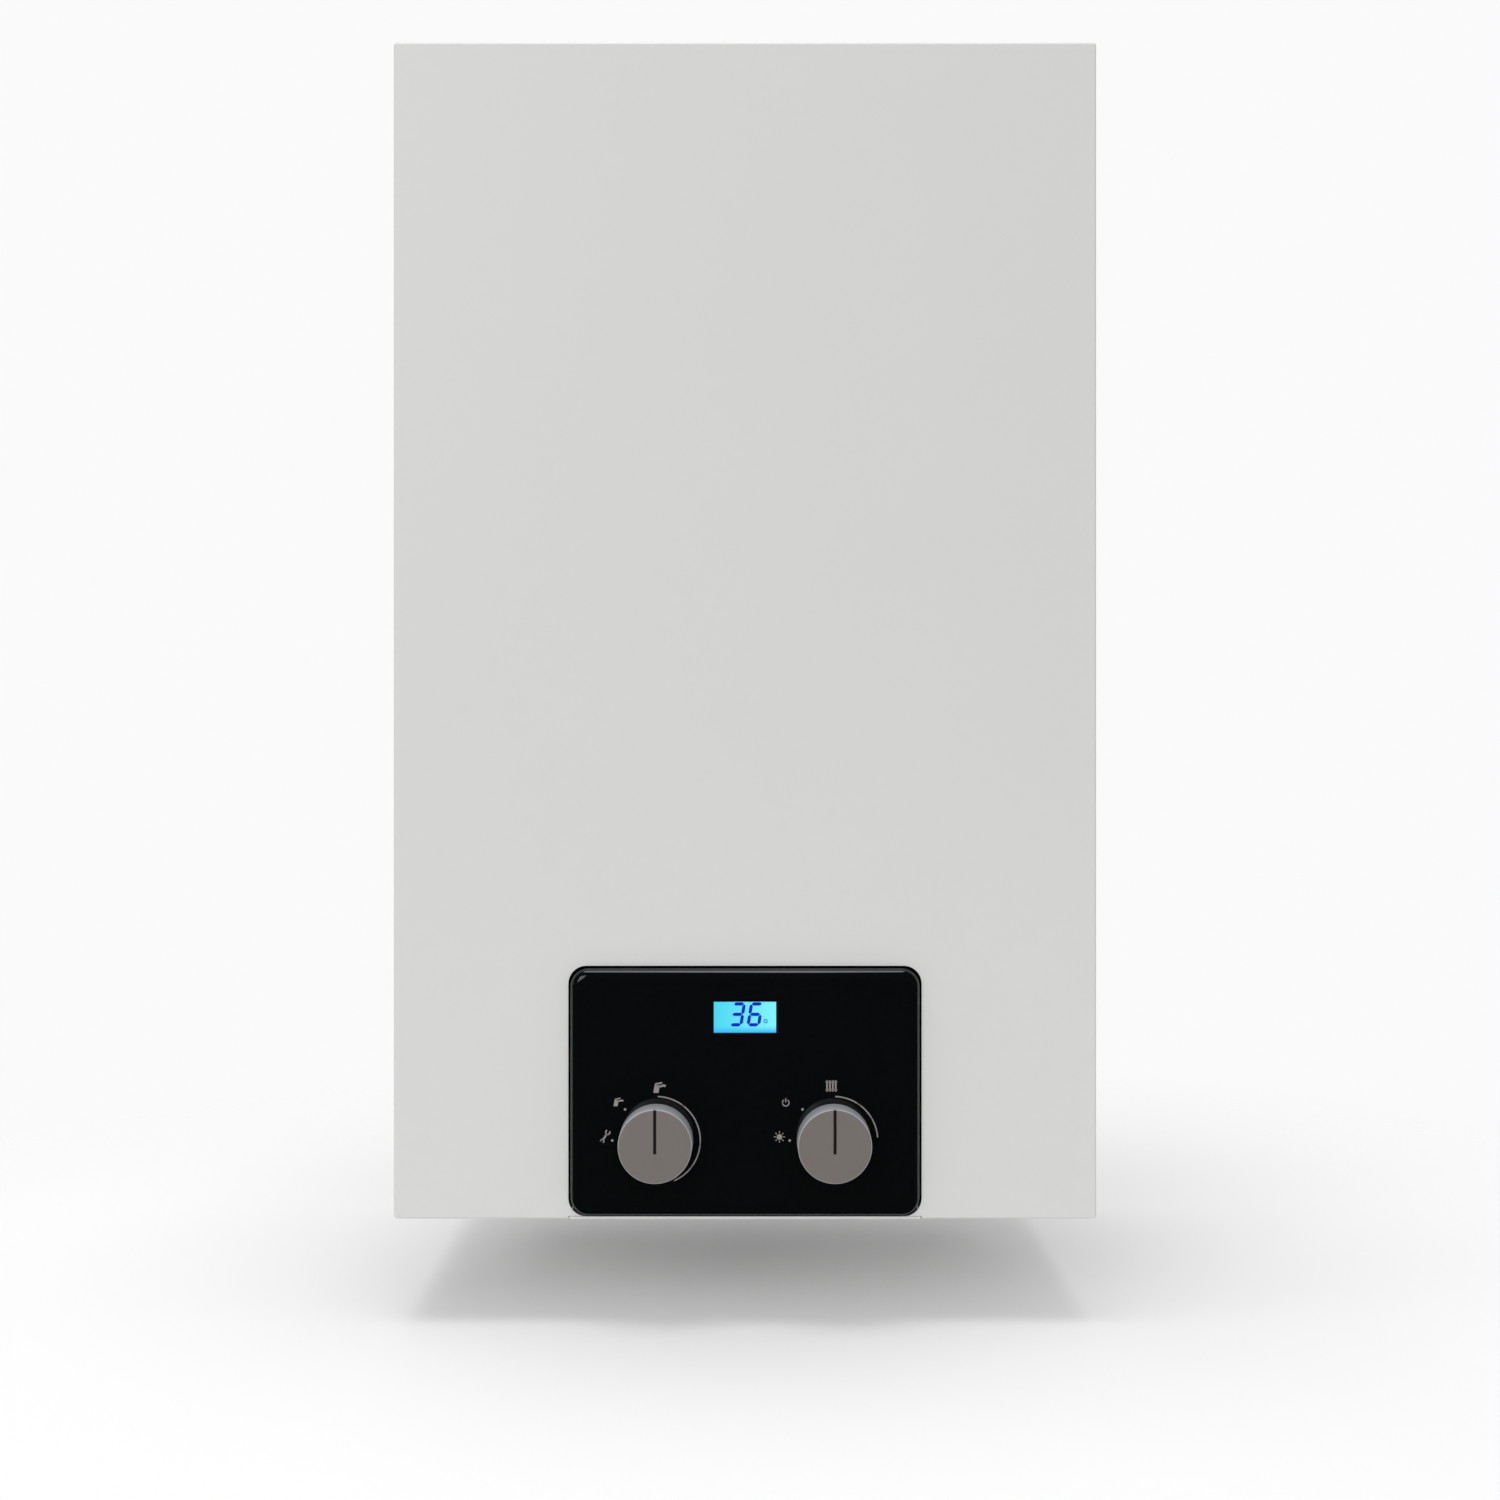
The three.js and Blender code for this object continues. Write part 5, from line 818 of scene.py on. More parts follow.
def stack_pattern() -> Pattern:
    """Rounded plates in a row, for a brazed exchanger and for pressed beads.

    Returns:
        The tree, which needs no points of its own.
    """
    pattern = Pattern("stack", {
        "Count": ("NodeSocketInt", 22), "Start": ("NodeSocketVector", (0, 0, 0)),
        "Step": ("NodeSocketVector", (0, 0, 0.0025)), "Width": ("NodeSocketFloat", 0.2),
        "Depth": ("NodeSocketFloat", 0.076), "Corner": ("NodeSocketFloat", 0.014),
        "Thickness": ("NodeSocketFloat", 0.0014), "Turn": ("NodeSocketVector", (0, 0, 0)),
    })
    given = pattern.source.outputs
    outline = pattern.add("GeometryNodeCurvePrimitiveQuadrilateral", links={
        "Width": given["Width"], "Height": given["Depth"],
    })
    rounded = pattern.add("GeometryNodeFilletCurve", {"mode": "POLY", "Count": 8}, {
        "Curve": outline.outputs["Curve"], "Radius": given["Corner"],
    })
    sheet = pattern.add("GeometryNodeFillCurve", {"mode": "NGONS"}, {"Curve": rounded.outputs["Curve"]})
    raised = pattern.add("GeometryNodeExtrudeMesh", {"Individual": False}, {
        "Mesh": sheet.outputs["Mesh"], "Offset Scale": given["Thickness"],
    })
    under = pattern.add("GeometryNodeFlipFaces", links={"Mesh": sheet.outputs["Mesh"]})
    closed = pattern.add("GeometryNodeMergeByDistance", {"Distance": SAME_CORNER}, {
        "Geometry": pattern.joined(raised.outputs["Mesh"], under.outputs["Mesh"]),
    })
    laid = pattern.add("GeometryNodeTransform", links={
        "Geometry": closed.outputs["Geometry"], "Rotation": given["Turn"],
    })
    row = pattern.add("GeometryNodeMeshLine", links={
        "Count": given["Count"], "Start Location": given["Start"], "Offset": given["Step"],
    })
    pattern.end(pattern.spread(Points=row.outputs["Mesh"], Instance=laid.outputs["Geometry"]))
    return pattern


@dataclass
class Patterns:
    """The trees that all sub-assemblies share."""

    fasteners: Pattern = field(default_factory=fastener_pattern)
    rings: Pattern = field(default_factory=ring_pattern)
    fins: Pattern = field(default_factory=fin_pattern)
    stack: Pattern = field(default_factory=stack_pattern)


# ---------------------------------------------------------------------------------------------
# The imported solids
# ---------------------------------------------------------------------------------------------


@dataclass
class PackedSolids:
    """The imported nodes: each gets its finish, and a copy with its edges broken stands for it.

    Attributes:
        edge: width of a broken edge in millimetres.
        flat_turn: faces that turn less than this many degrees are one face.
        crease_turn: edges of a pipe that turn more than this many degrees stay sharp.
        modelled: nodes that a sub-assembly models itself.
        plain: nodes that are flat boxes and stay as they are.
        pipes: nodes whose few facets are rounded by subdivision.
    """

    frame: dict
    edge: float = 0.35
    flat_turn: float = 0.5
    crease_turn: float = 60.0
    modelled: tuple[str, ...] = (
        "front_cover", "fascia", "hot_water_knob", "heating_knob", "plate_heat_exchanger",
    )
    plain: tuple[str, ...] = ("display_window", "display_module")
    pipes: tuple[str, ...] = (
        "flow_pipe", "return_pipe", "gas_pipe", "mixture_gas_tube", "vessel_hose", "condensate_hose",
    )

    def dress(self) -> None:
        """Gives each node its finish, and its refined copy where it needs one."""
        record = self.frame["record"]
        carriers = {node: body for body, nodes in record["behaviour"]["bodies"].items() for node in nodes}
        for entry in record["subparts"]:
            node, finish = entry["node"], SLOT_FINISHES.get(entry["material_slot"])
            if finish is None:
                continue
            for slot in self.frame["nodes"][node].material_slots:
                slot.material = finish.material()
            if node in self.modelled or node in self.plain:
                continue
            piece = self.refined(node)
            piece.data.materials.clear()
            piece.data.materials.append(finish.material())
            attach(piece, carriers[node])
            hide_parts(node)
            LOG.info("%s: %d faces on %s", piece.name, len(piece.data.polygons), carriers[node])

    def refined(self, node: str) -> bpy.types.Object:
        """A copy of a node with merged corners and broken edges.

        Args:
            node: the node's name.

        Returns:
            The copy, as a plain mesh.
        """
        mesh = self.frame["nodes"][node].data.copy()
        work = bmesh.new()
        work.from_mesh(mesh)
        bmesh.ops.remove_doubles(work, verts=work.verts, dist=SAME_CORNER)
        bmesh.ops.dissolve_limit(work, angle_limit=math.radians(self.flat_turn), verts=work.verts,
                                 edges=work.edges)
        if node in self.pipes:
            crease = work.edges.layers.float.new("crease_edge")
            for edge in work.edges:
                edge[crease] = float(edge.calc_face_angle(0) > math.radians(self.crease_turn))
        work.to_mesh(mesh)
        work.free()
        shade_round(mesh)
        piece = new_object(f"{node}_shape", mesh)
        if node in self.pipes:
            rounded = piece.modifiers.new("round", "SUBSURF")
            rounded.levels = rounded.render_levels = 2
        else:
            bevel = piece.modifiers.new("edge", "BEVEL")
            bevel.width = self.edge * MM
            bevel.segments = 2
            bevel.limit_method = "ANGLE"
            bevel.angle_limit = math.radians(SMOOTH_ANGLE)
            bevel.harden_normals = True
        return applied(piece)


# ---------------------------------------------------------------------------------------------
# What the sub-assemblies share
# ---------------------------------------------------------------------------------------------


@dataclass(frozen=True)
class Fastener:
    """A kind of screw or nut; six sides make a hexagon. Sizes are in millimetres."""

    radius: float
    height: float
    sides: int = 20
    finish: Finish = PLATED_STEEL


CASE_SCREW = Fastener(3.6, 2.2)
BOX_SCREW = Fastener(2.8, 1.2)
FAN_SCREW = Fastener(3.2, 2.4)
VALVE_SCREW = Fastener(3.0, 2.2)
DOOR_NUT = Fastener(5.5, 5.0, HEXAGON)
UNION_NUT = Fastener(14.0, 12.0, HEXAGON, BRASS)
WATER_NUT = Fastener(12.0, 12.0, HEXAGON, BRASS)


@dataclass
class Group:
    """A sub-assembly that makes pieces of its own.

    Attributes:
        patterns: the trees that repeated parts are grown with.
        pieces: what it has made, each with the body that carries it and its finish.
    """

    patterns: Patterns
    pieces: list[tuple[bpy.types.Object, Body, Finish]] = field(default_factory=list, init=False)

    def build(self) -> None:
        """Makes the group's pieces."""
        raise NotImplementedError

    def dress(self) -> None:
        """Puts each piece on its body with its finish."""
        for piece, body, finish in self.pieces:
            settle(piece, body, finish)

    def add(self, piece: bpy.types.Object, finish: Finish, body: Body = Body.FRAME) -> None:
        """Notes a piece that the group has made.

        Args:
            piece: the object, in its place.
            finish: what it is made of.
            body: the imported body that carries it.
        """
        self.pieces.append((piece, body, finish))

    def fasten(self, name: str, kind: Fastener, places: Sequence[Point], facing: Point,
               body: Body = Body.FRAME) -> None:
        """Puts fasteners of one kind on some places, all facing one way.

        Args:
            name: the piece's name.
            kind: what sort of fastener they are.
            places: where each seats, in millimetres.
            facing: which way the heads face.
            body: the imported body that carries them.
        """
        carrier = carrier_mesh(places, [facing] * len(places))
        piece = self.patterns.fasteners.grow(
            name, carrier, kind.finish, Head_Radius=kind.radius * MM, Head_Height=kind.height * MM,
            Sides=kind.sides, Socket_Radius=kind.radius * MM * SOCKET_SHARE,
        )
        self.add(piece, kind.finish, body)

    def cool(self, name: str, finish: Finish, count: int, radius: float, size: Point, centre: Point) -> None:
        """Puts cooling fins round an axis along Y.

        Args:
            name: the piece's name.
            finish: what they are made of.
            count: how many there are.
            radius: from the axis to the middle of a fin.
            size: a fin's height, thickness and length.
            centre: the middle of the whole ring.
        """
        piece = self.patterns.fins.grow(
            name, blank_carrier(), finish, Count=count, Middle_Radius=radius * MM,
            Fin_Size=tuple(v * MM for v in size), Centre=tuple(metres(*centre)),
        )
        self.add(piece, finish)


# ---------------------------------------------------------------------------------------------
# Casing
# ---------------------------------------------------------------------------------------------


@dataclass
class Casing(Group):
    """Fasteners, seals and pressings of the casing. Sizes are in millimetres.

    Attributes:
        cut_past: how far a cutter reaches past what it cuts.
        lip_end: how far the side panels' lips stop short of their ends.
        lip_section: the lip seal's section, in radius and height from the collar's rim.
        wide_nipple: a connection that is wider than this has the wide stem.
        thread_span: where a thread starts and ends above its connection's lower end.
    """

    cut_past: float = 5.0
    cover_corner: float = 2.0
    cover_edge: float = 1.5
    cover_sheet: float = 1.2
    cover_fold: float = 0.3
    notch_corner: float = 11.0
    notch_gap: float = 1.2
    apron_joint: float = 0.25
    cover_screw_inset: float = 30.0
    side_screw_start: float = 135.0
    side_screw_pitch: float = 150.0
    side_screw_count: int = 4
    flange_thickness: float = 3.0
    flange_screw_circle: float = 60.0
    flange_screw_count: int = 4
    lip_end: float = 12.0
    gusset_gap: float = 0.1
    gusset_sheet: float = 1.0
    gusset_inset: float = 1.3
    lip_section: tuple[Flat, ...] = (
        (50.0, -14.0), (50.0, -6.0), (48.2, -7.0), (46.4, -10.5), (48.2, -9.6), (48.2, -13.0),
    )
    gasket_bore: float = 50.5
    gasket_radius: float = 68.0
    gasket_thickness: float = 0.3
    gasket_gap: float = 0.05
    wide_nipple: float = 32.0
    wide_stem: float = 13.2
    narrow_stem: float = 10.5
    grommet_width: float = 3.8
    grommet_height: float = 1.4
    grommet_chamfer: float = 0.4
    grommet_gap: float = 0.1
    thread_pitch: float = 1.8
    thread_span: Flat = (1.2, 22.0)
    thread_wire: float = 0.55
    thread_sink: float = 0.1
    back_sheet: float = 1.5
    bead_count: int = 5
    bead_start: float = 110.0
    bead_pitch: float = 105.0
    bead_length: float = 260.0
    bead_width: float = 14.0
    bead_rounding: float = 0.49
    bead_height: float = 2.0
    seal_width: float = 6.0
    seal_depth: float = 4.0
    seal_inset: float = 8.0
    seal_corner: float = 8.0
    seal_gap: float = 0.05

    def build(self) -> None:
        """Makes the casing's own pieces."""
        self.cover()
        self.cover_screws()
        self.panel_screws()
        self.corner_gussets()
        self.flue_seals()
        self.pipe_grommets()
        self.threads()
        self.back_beads()
        self.cover_seal()

    def cover(self) -> None:
        """The folded tray with its notch, whose corners follow the fascia's."""
        low, high = corners("front_cover")
        panel_low, panel_high = corners("fascia")
        sheet, gap, past = self.cover_sheet, self.notch_gap, self.cut_past
        left, right, inset = panel_low.x - gap, panel_high.x + gap, self.notch_corner
        tray = soft_slab("front_cover_shape", (low.x, low.z), (high.x, high.z), self.cover_corner,
                         self.cover_edge, high.y, low.y)
        hollow = soft_slab("cover_hollow", (low.x + sheet, low.z + sheet), (high.x - sheet, high.z - sheet),
                           self.cover_corner - sheet, self.cover_fold, high.y + past, low.y + sheet)
        notch = soft_slab("cover_notch", (left, panel_low.z - gap), (right, panel_high.z + gap), inset, 0.0,
                          high.y + past, low.y - past)
        below = box_solid("cover_notch_mouth", (left + inset, low.y - past, low.z - past),
                          (right - inset, high.y + past, panel_low.z + past))
        strip = box_solid("apron_way", (left, low.y - past, low.z - past),
                          (right, high.y + past, panel_low.z - gap + self.apron_joint))
        carved(tray, [hollow, notch, below, strip])
        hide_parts("front_cover")
        self.add(tray, CASE_PAINT, Body.COVER)

    def cover_screws(self) -> None:
        """The two screws under the front that lock the cover."""
        low, high = corners("front_cover")
        reach = high.x - self.cover_screw_inset
        places = [(x, (low.y + high.y) / 2, low.z) for x in (-reach, reach)]
        self.fasten("cover_screws", CASE_SCREW, places, DOWN, Body.COVER)

    def panel_screws(self) -> None:
        """Screws through the lips of the side panels, behind the cover, and through the collar."""
        low, high = corners("right_side_panel")
        lip = (low.x + high.x) / 2
        rows = [low.z + self.side_screw_start + self.side_screw_pitch * i
                for i in range(self.side_screw_count)]
        for x, name in ((-lip, "left_panel_screws"), (lip, "right_panel_screws")):
            self.fasten(name, CASE_SCREW, [(x, low.y, row) for row in rows], FORWARDS)
        low, high = corners("flue_collar")
        centre, radius = (low + high) / 2, self.flange_screw_circle
        count = self.flange_screw_count
        angles = [math.radians(360 * (i + 0.5) / count) for i in range(count)]
        places = [(
            centre.x + radius * math.cos(angle), centre.y + radius * math.sin(angle),
            low.z + self.flange_thickness,
        ) for angle in angles]
        self.fasten("collar_screws", CASE_SCREW, places, UPWARDS)

    def corner_gussets(self) -> None:
        """Small plates that close the corners between the lips of the casing's panels."""
        low, high = corners("right_side_panel")
        gap, reach = self.gusset_gap, self.lip_end - self.gusset_gap
        plates = FlatPrint(low.y, proud=-gap, sunk=gap + self.gusset_sheet)
        near, far = low.x, high.x - self.gusset_inset
        for left, right in ((-far, -near), (near, far)):
            for bottom, top in ((low.z + gap, low.z + reach), (high.z - reach, high.z - gap)):
                plates.area([(left, bottom), (right, bottom), (right, top), (left, top)])
        self.add(plates.piece("corner_gussets"), CASE_PAINT)

    def flue_seals(self) -> None:
        """The lip seal in the collar and the gasket under it."""
        low, high = corners("flue_collar")
        x, y = (low.x + high.x) / 2, (low.y + high.y) / 2
        self.add(turned("collar_lip_seal", self.lip_section, (x, y, high.z), upright=True), BLACK_RUBBER)
        section = collar(self.gasket_bore, self.gasket_radius, -self.gasket_gap - self.gasket_thickness,
                         -self.gasket_gap)
        self.add(turned("collar_gasket", section, (x, y, low.z), upright=True), BLACK_RUBBER)

    def nipple(self, node: str) -> tuple[float, float, float, float]:
        """Measures one connection.

        Args:
            node: its name.

        Returns:
            Its axis in x and y, the height of its lower end, and its stem's radius.
        """
        low, high = corners(node)
        stem = self.wide_stem if high.x - low.x > self.wide_nipple else self.narrow_stem
        return (low.x + high.x) / 2, (low.y + high.y) / 2, low.z, stem

    def pipe_grommets(self) -> None:
        """Rubber rings where the connections pass the bottom panel."""
        height, chamfer, gap = self.grommet_height, self.grommet_chamfer, self.grommet_gap
        underside = corners("bottom_panel")[0].z
        for node in NIPPLES:
            x, y, _, stem = self.nipple(node)
            outer = stem + self.grommet_width
            section = [(stem, -height), (outer - chamfer, -height), (outer, 2 * chamfer - height),
                       (outer, -gap), (stem, -gap)]
            grommet = turned(f"{node}_grommet", section, (x, y, underside), upright=True, segments=48)
            self.add(grommet, BLACK_RUBBER)

    def threads(self) -> None:
        """The threads of the connections below the casing."""
        for node in NIPPLES:
            x, y, foot, stem = self.nipple(node)
            line = carrier_mesh([(x, y, foot + z) for z in self.thread_span], [UPWARDS] * 2, joined=True)
            thread = self.patterns.rings.grow(
                f"{node}_thread", line, BRASS, Pitch=self.thread_pitch * MM,
                Ring_Radius=(stem - self.thread_sink) * MM, Wire_Radius=self.thread_wire * MM,
            )
            self.add(thread, BRASS)

    def back_beads(self) -> None:
        """Stiffening beads pressed into the back frame."""
        low, _ = corners("back_frame")
        start = metres(0, low.y + self.back_sheet, low.z + self.bead_start)
        beads = self.patterns.stack.grow(
            "back_frame_beads", blank_carrier(), ZINC_SHEET, Count=self.bead_count, Start=tuple(start),
            Step=tuple(metres(0, 0, self.bead_pitch)), Width=self.bead_length * MM,
            Depth=self.bead_width * MM, Corner=self.bead_width * MM * self.bead_rounding,
            Thickness=self.bead_height * MM, Turn=(-math.pi / 2, 0, 0),
        )
        self.add(beads, ZINC_SHEET)

    def cover_seal(self) -> None:
        """The foam strip inside the cover, round the works and above the control panel."""
        low, high = corners("front_cover")
        bottom = corners("fascia")[1].z + self.notch_gap + self.seal_width
        top, inside = high.z - self.seal_inset, low.y + self.cover_sheet + self.seal_gap
        middle, height = (bottom + top) / 2, top - bottom
        width = high.x - low.x - 2 * self.seal_inset

        def band(offset: float, y: float) -> list[Vector]:
            """One rectangle of the strip's section."""
            corner = self.seal_corner - offset / 2
            outline = rounded_rectangle(width - 2 * offset, height - 2 * offset, corner, steps=4)
            return [metres(x, y, middle + z) for x, z in outline]

        outside = inside + self.seal_depth
        strip = lofted("cover_seal", [band(0, inside), band(0, outside)])
        hollow = lofted("cover_seal_hollow", [
            band(self.seal_width, y) for y in (inside - self.cut_past, outside + self.cut_past)
        ])
        self.add(carved(strip, [hollow]), BLACK_RUBBER, Body.COVER)


# ---------------------------------------------------------------------------------------------
# Control panel
# ---------------------------------------------------------------------------------------------


class Segment(Enum):
    """The seven bars of a digit, each with its two ends in shares of the digit's size."""

    TOP = ((0, 1), (1, 1))
    UPPER_RIGHT = ((1, 1), (1, 0.5))
    LOWER_RIGHT = ((1, 0.5), (1, 0))
    BOTTOM = ((0, 0), (1, 0))
    LOWER_LEFT = ((0, 0.5), (0, 0))
    UPPER_LEFT = ((0, 1), (0, 0.5))
    MIDDLE = ((0, 0.5), (1, 0.5))


THREE = (Segment.TOP, Segment.UPPER_RIGHT, Segment.LOWER_RIGHT, Segment.BOTTOM, Segment.MIDDLE)
SIX = (Segment.TOP, Segment.UPPER_LEFT, Segment.LOWER_LEFT, Segment.BOTTOM, Segment.LOWER_RIGHT,
       Segment.MIDDLE)


@dataclass
class FlatPrint:
    """Thin marks on a plane that faces -Y, gathered into one mesh. Sizes are in millimetres.

    Attributes:
        front: the plane that the marks lie on.
        proud: how far they stand in front of it.
        sunk: how far they reach behind it.
    """

    front: float
    proud: float = 0.06
    sunk: float = 0.2
    points: list[Vector] = field(default_factory=list)
    faces: list[tuple[int, ...]] = field(default_factory=list)

    def area(self, outline: Sequence[Flat]) -> None:
        """Adds one filled outline.

        Args:
            outline: its points, anticlockwise seen from the front.
        """
        start, count = len(self.points), len(outline)
        for y in (self.front - self.proud, self.front + self.sunk):
            self.points += [metres(x, y, z) for x, z in outline]
        self.faces.append(tuple(start + i for i in range(count)))
        self.faces.append(tuple(start + count + i for i in reversed(range(count))))
        for i in range(count):
            j = (i + 1) % count
            self.faces.append((start + i, start + count + i, start + count + j, start + j))

    def disc(self, centre: Flat, radius: float, steps: int = 24) -> None:
        """Adds a round dot."""
        angles = [2 * math.pi * i / steps for i in range(steps)]
        self.area([(centre[0] + radius * math.cos(a), centre[1] + radius * math.sin(a)) for a in angles])

    def stroke(self, path: Sequence[Flat], width: float) -> None:
        """Adds a line of one width along a path.

        Args:
            path: its points.
            width: its width.
        """
        left, right = [], []
        for i, (x, z) in enumerate(path):
            before, after = path[max(i - 1, 0)], path[min(i + 1, len(path) - 1)]
            along = Vector((after[0] - before[0], after[1] - before[1])).normalized()
            left.append((x - along.y * width / 2, z + along.x * width / 2))
            right.append((x + along.y * width / 2, z - along.x * width / 2))
        for i in range(len(path) - 1):
            self.area([right[i], right[i + 1], left[i + 1], left[i]])

    def arc(self, centre: Flat, radius: float, start: float, end: float, width: float,
            steps: int = 48) -> None:
        """Adds an arc; its angles are in degrees clockwise from the top."""
        angles = [start + (end - start) * i / steps for i in range(steps + 1)]
        self.stroke([around(centre, radius, angle) for angle in angles], width)

    def piece(self, name: str) -> bpy.types.Object:
        """The marks as one object."""
        return closed_mesh(name, self.points, self.faces)


@dataclass
class ControlPanel(Group):
    """The fascia, its display, its print, its knobs and the box behind. Sizes are in millimetres.

    Attributes:
        cut_past: how far a cutter reaches past what it cuts.
        highlight_band: width of the band round a knob's face, with its side wall, that gets the paler finish
            of the painted highlight.
        scale_ends: where each knob's scale ends, in degrees clockwise from the top.
        digit_lefts: each digit's left edge from the window's left edge.
        degree_place: the degree ring's middle from the window's left edge and the digits' foot.
        glow_band: height of the window's lower part in which the light's colour changes.
        low: the fascia's lowest corner.
        high: the fascia's highest corner.
        front: the plane of the fascia's front.
        knob_base: the plane of the knobs' backs.
        knob_places: each knob's axis in x and z.
    """

    frame: dict
    cut_past: float = 3.0
    corner: float = 11.0
    edge: float = 6.0
    wall: float = 2.2
    window_joint: float = 0.3
    shaft_hole: float = 4.0
    shaft_hole_reach: float = 9.0
    knob_radius: float = 22.5
    knob_height: float = 19.0
    knob_taper: float = 0.3
    knob_chamfer: float = 0.5
    chamfer_steps: int = 5
    knob_skirt: float = 2.4
    knob_face: float = 3.0
    face_inset: float = 1.6
    foot_chamfer: Flat = (0.2, 0.3)
    hub_radius: float = 6.0
    hub_bore: float = 3.3
    hub_end: float = 6.0
    highlight_band: float = 2.0
    pointer_width: float = 1.9
    pointer_past_centre: float = 4.5
    pointer_depth: float = 0.8
    filler_gap: float = 0.02
    filler_sink: float = 0.35
    filler_end: float = 0.6
    scale_radius: float = 26.8
    scale_width: float = 0.8
    scale_start: float = 2.0
    scale_ends: Flat = (156.0, 86.0)
    dot_angles: Flat = (-45.0, -90.0)
    dot_radius: float = 0.8
    digit_width: float = 6.4
    digit_height: float = 12.7
    digit_bar: float = 2.0
    digit_slant: float = 0.16
    digit_joint: float = 0.15
    digit_lefts: Flat = (9.8, 20.6)
    digit_margin: float = 1.3
    degree_place: Flat = (31.2, 2.2)
    degree_radius: float = 1.0
    degree_width: float = 0.5
    glow_band: float = 3.5
    glow_strength: float = 1.08
    rib_pitch: float = 14.0
    rib_width: float = 2.4
    rib_count: int = 11
    rib_end: float = 8.0
    box_screw_inset: float = 7.0
    box_screw_foot: float = 6.0
    box_screw_head: float = 22.0
    low: Vector = field(init=False)
    high: Vector = field(init=False)
    front: float = field(init=False)
    knob_base: float = field(init=False)
    knob_places: dict[Body, Flat] = field(init=False)

    def __post_init__(self) -> None:
        """Reads the panel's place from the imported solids."""
        self.low, self.high = corners("fascia")
        self.front = self.low.y
        self.knob_places = {}
        for body, node in KNOB_NODES.items():
            low, high = corners(node)
            self.knob_places[body] = ((low.x + high.x) / 2, (low.z + high.z) / 2)
            self.knob_base = high.y

    def build(self) -> None:
        """Makes the panel's pieces."""
        self.fascia()
        for body, place in self.knob_places.items():
            self.knob(body, place)
        self.printed_symbols()
        self.display()
        self.box_back()

    def dress(self) -> None:
        """Puts each piece on its body with its finish, and lights the display."""
        super().dress()
        self.light_display()

    def fascia(self) -> None:
        """The moulded shell with its window and the holes for the shafts."""
        low, high, wall, past = self.low, self.high, self.wall, self.cut_past
        shell = soft_slab("fascia_shape", (low.x, low.z), (high.x, high.z), self.corner, self.edge, high.y,
                          low.y)
        hollow = soft_slab("fascia_hollow", (low.x + wall, low.z + wall), (high.x - wall, high.z - wall),
                           self.corner - wall, self.edge - wall, high.y + past, low.y + wall)
        window_low, window_high = corners("display_window")
        gap = self.window_joint
        opening = box_solid("window_opening", (window_low.x - gap, low.y - past, window_low.z - gap),
                            (window_high.x + gap, high.y + past, window_high.z + gap))
        radius, reach = self.shaft_hole, self.shaft_hole_reach
        drill = [(0, -reach), (radius, -reach), (radius, reach), (0, reach)]
        holes = [turned(f"shaft_hole_{body.value}", drill, (x, self.front, z), segments=48)
                 for body, (x, z) in self.knob_places.items()]
        carved(shell, [hollow, opening, *holes])
        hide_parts("fascia")
        self.add(shell, GLOSS_BLACK, Body.PANEL)

    def knob_profile(self) -> list[Flat]:
        """A knob's section.

        Returns:
            Its points, from the end of its bore round the skirt to the middle of its face.
        """
        top, rim = -self.knob_height, self.knob_radius - self.knob_taper
        turns = [math.pi / 2 * i / self.chamfer_steps for i in range(self.chamfer_steps + 1)]
        chamfer = [(rim - self.knob_chamfer * (1 - math.cos(a)), top + self.knob_chamfer * (1 - math.sin(a)))
                   for a in turns]
        inner, inside, bore_end = self.knob_radius - self.knob_skirt, top + self.knob_face, top + self.hub_end
        foot, rise = self.foot_chamfer
        return [
            (0, bore_end), (self.hub_bore, bore_end), (self.hub_bore, 0), (self.hub_radius, 0),
            (self.hub_radius, inside), (inner, inside), (inner, 0), (self.knob_radius - foot, 0),
            (self.knob_radius, -rise), *chamfer, (rim - self.face_inset, top), (0, top),
        ]

    def knob(self, body: Body, place: Flat) -> None:
        """One knob with its pointer groove and the lacquer in it.

        Args:
            body: the control that it belongs to.
            place: its axis in x and z.
        """
        node, (x, z) = KNOB_NODES[body], place
        shape = turned(f"{node}_shape", self.knob_profile(), (x, self.knob_base, z), segments=144)
        half, face = self.pointer_width / 2, self.knob_base - self.knob_height
        tail, rim = z - self.pointer_past_centre, self.knob_radius - self.knob_taper
        groove = box_solid("groove", (x - half, face - self.cut_past, tail),
                           (x + half, face + self.pointer_depth, z + self.knob_radius + self.cut_past))
        carved(shape, [groove])
        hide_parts(node)
        spun = replace(KNOB_FACE, name=f"{KNOB_FACE.name}_{node}", axis=tuple(metres(x, self.knob_base, z)))
        # The paler finish on the knob's side wall and chamfer is a painted highlight for the light that falls
        # there from above.
        highlighted = replace(KNOB_RIM, name=f"{KNOB_RIM.name}_{node}")
        for finish in (spun, highlighted):
            shape.data.materials.append(finish.material())
        for polygon in shape.data.polygons:
            out = math.hypot(polygon.center.x / MM - x, polygon.center.z / MM - z)
            polygon.material_index = int(out > rim - self.highlight_band and polygon.normal.y > FACES_FRONT)
        half -= self.filler_gap
        filler = box_solid(f"{node}_pointer", (x - half, face + self.filler_sink, tail),
                           (x + half, face + self.pointer_depth, z + rim - self.filler_end))
        self.add(shape, spun, body)
        self.add(filler, GROOVE_FILLER, body)

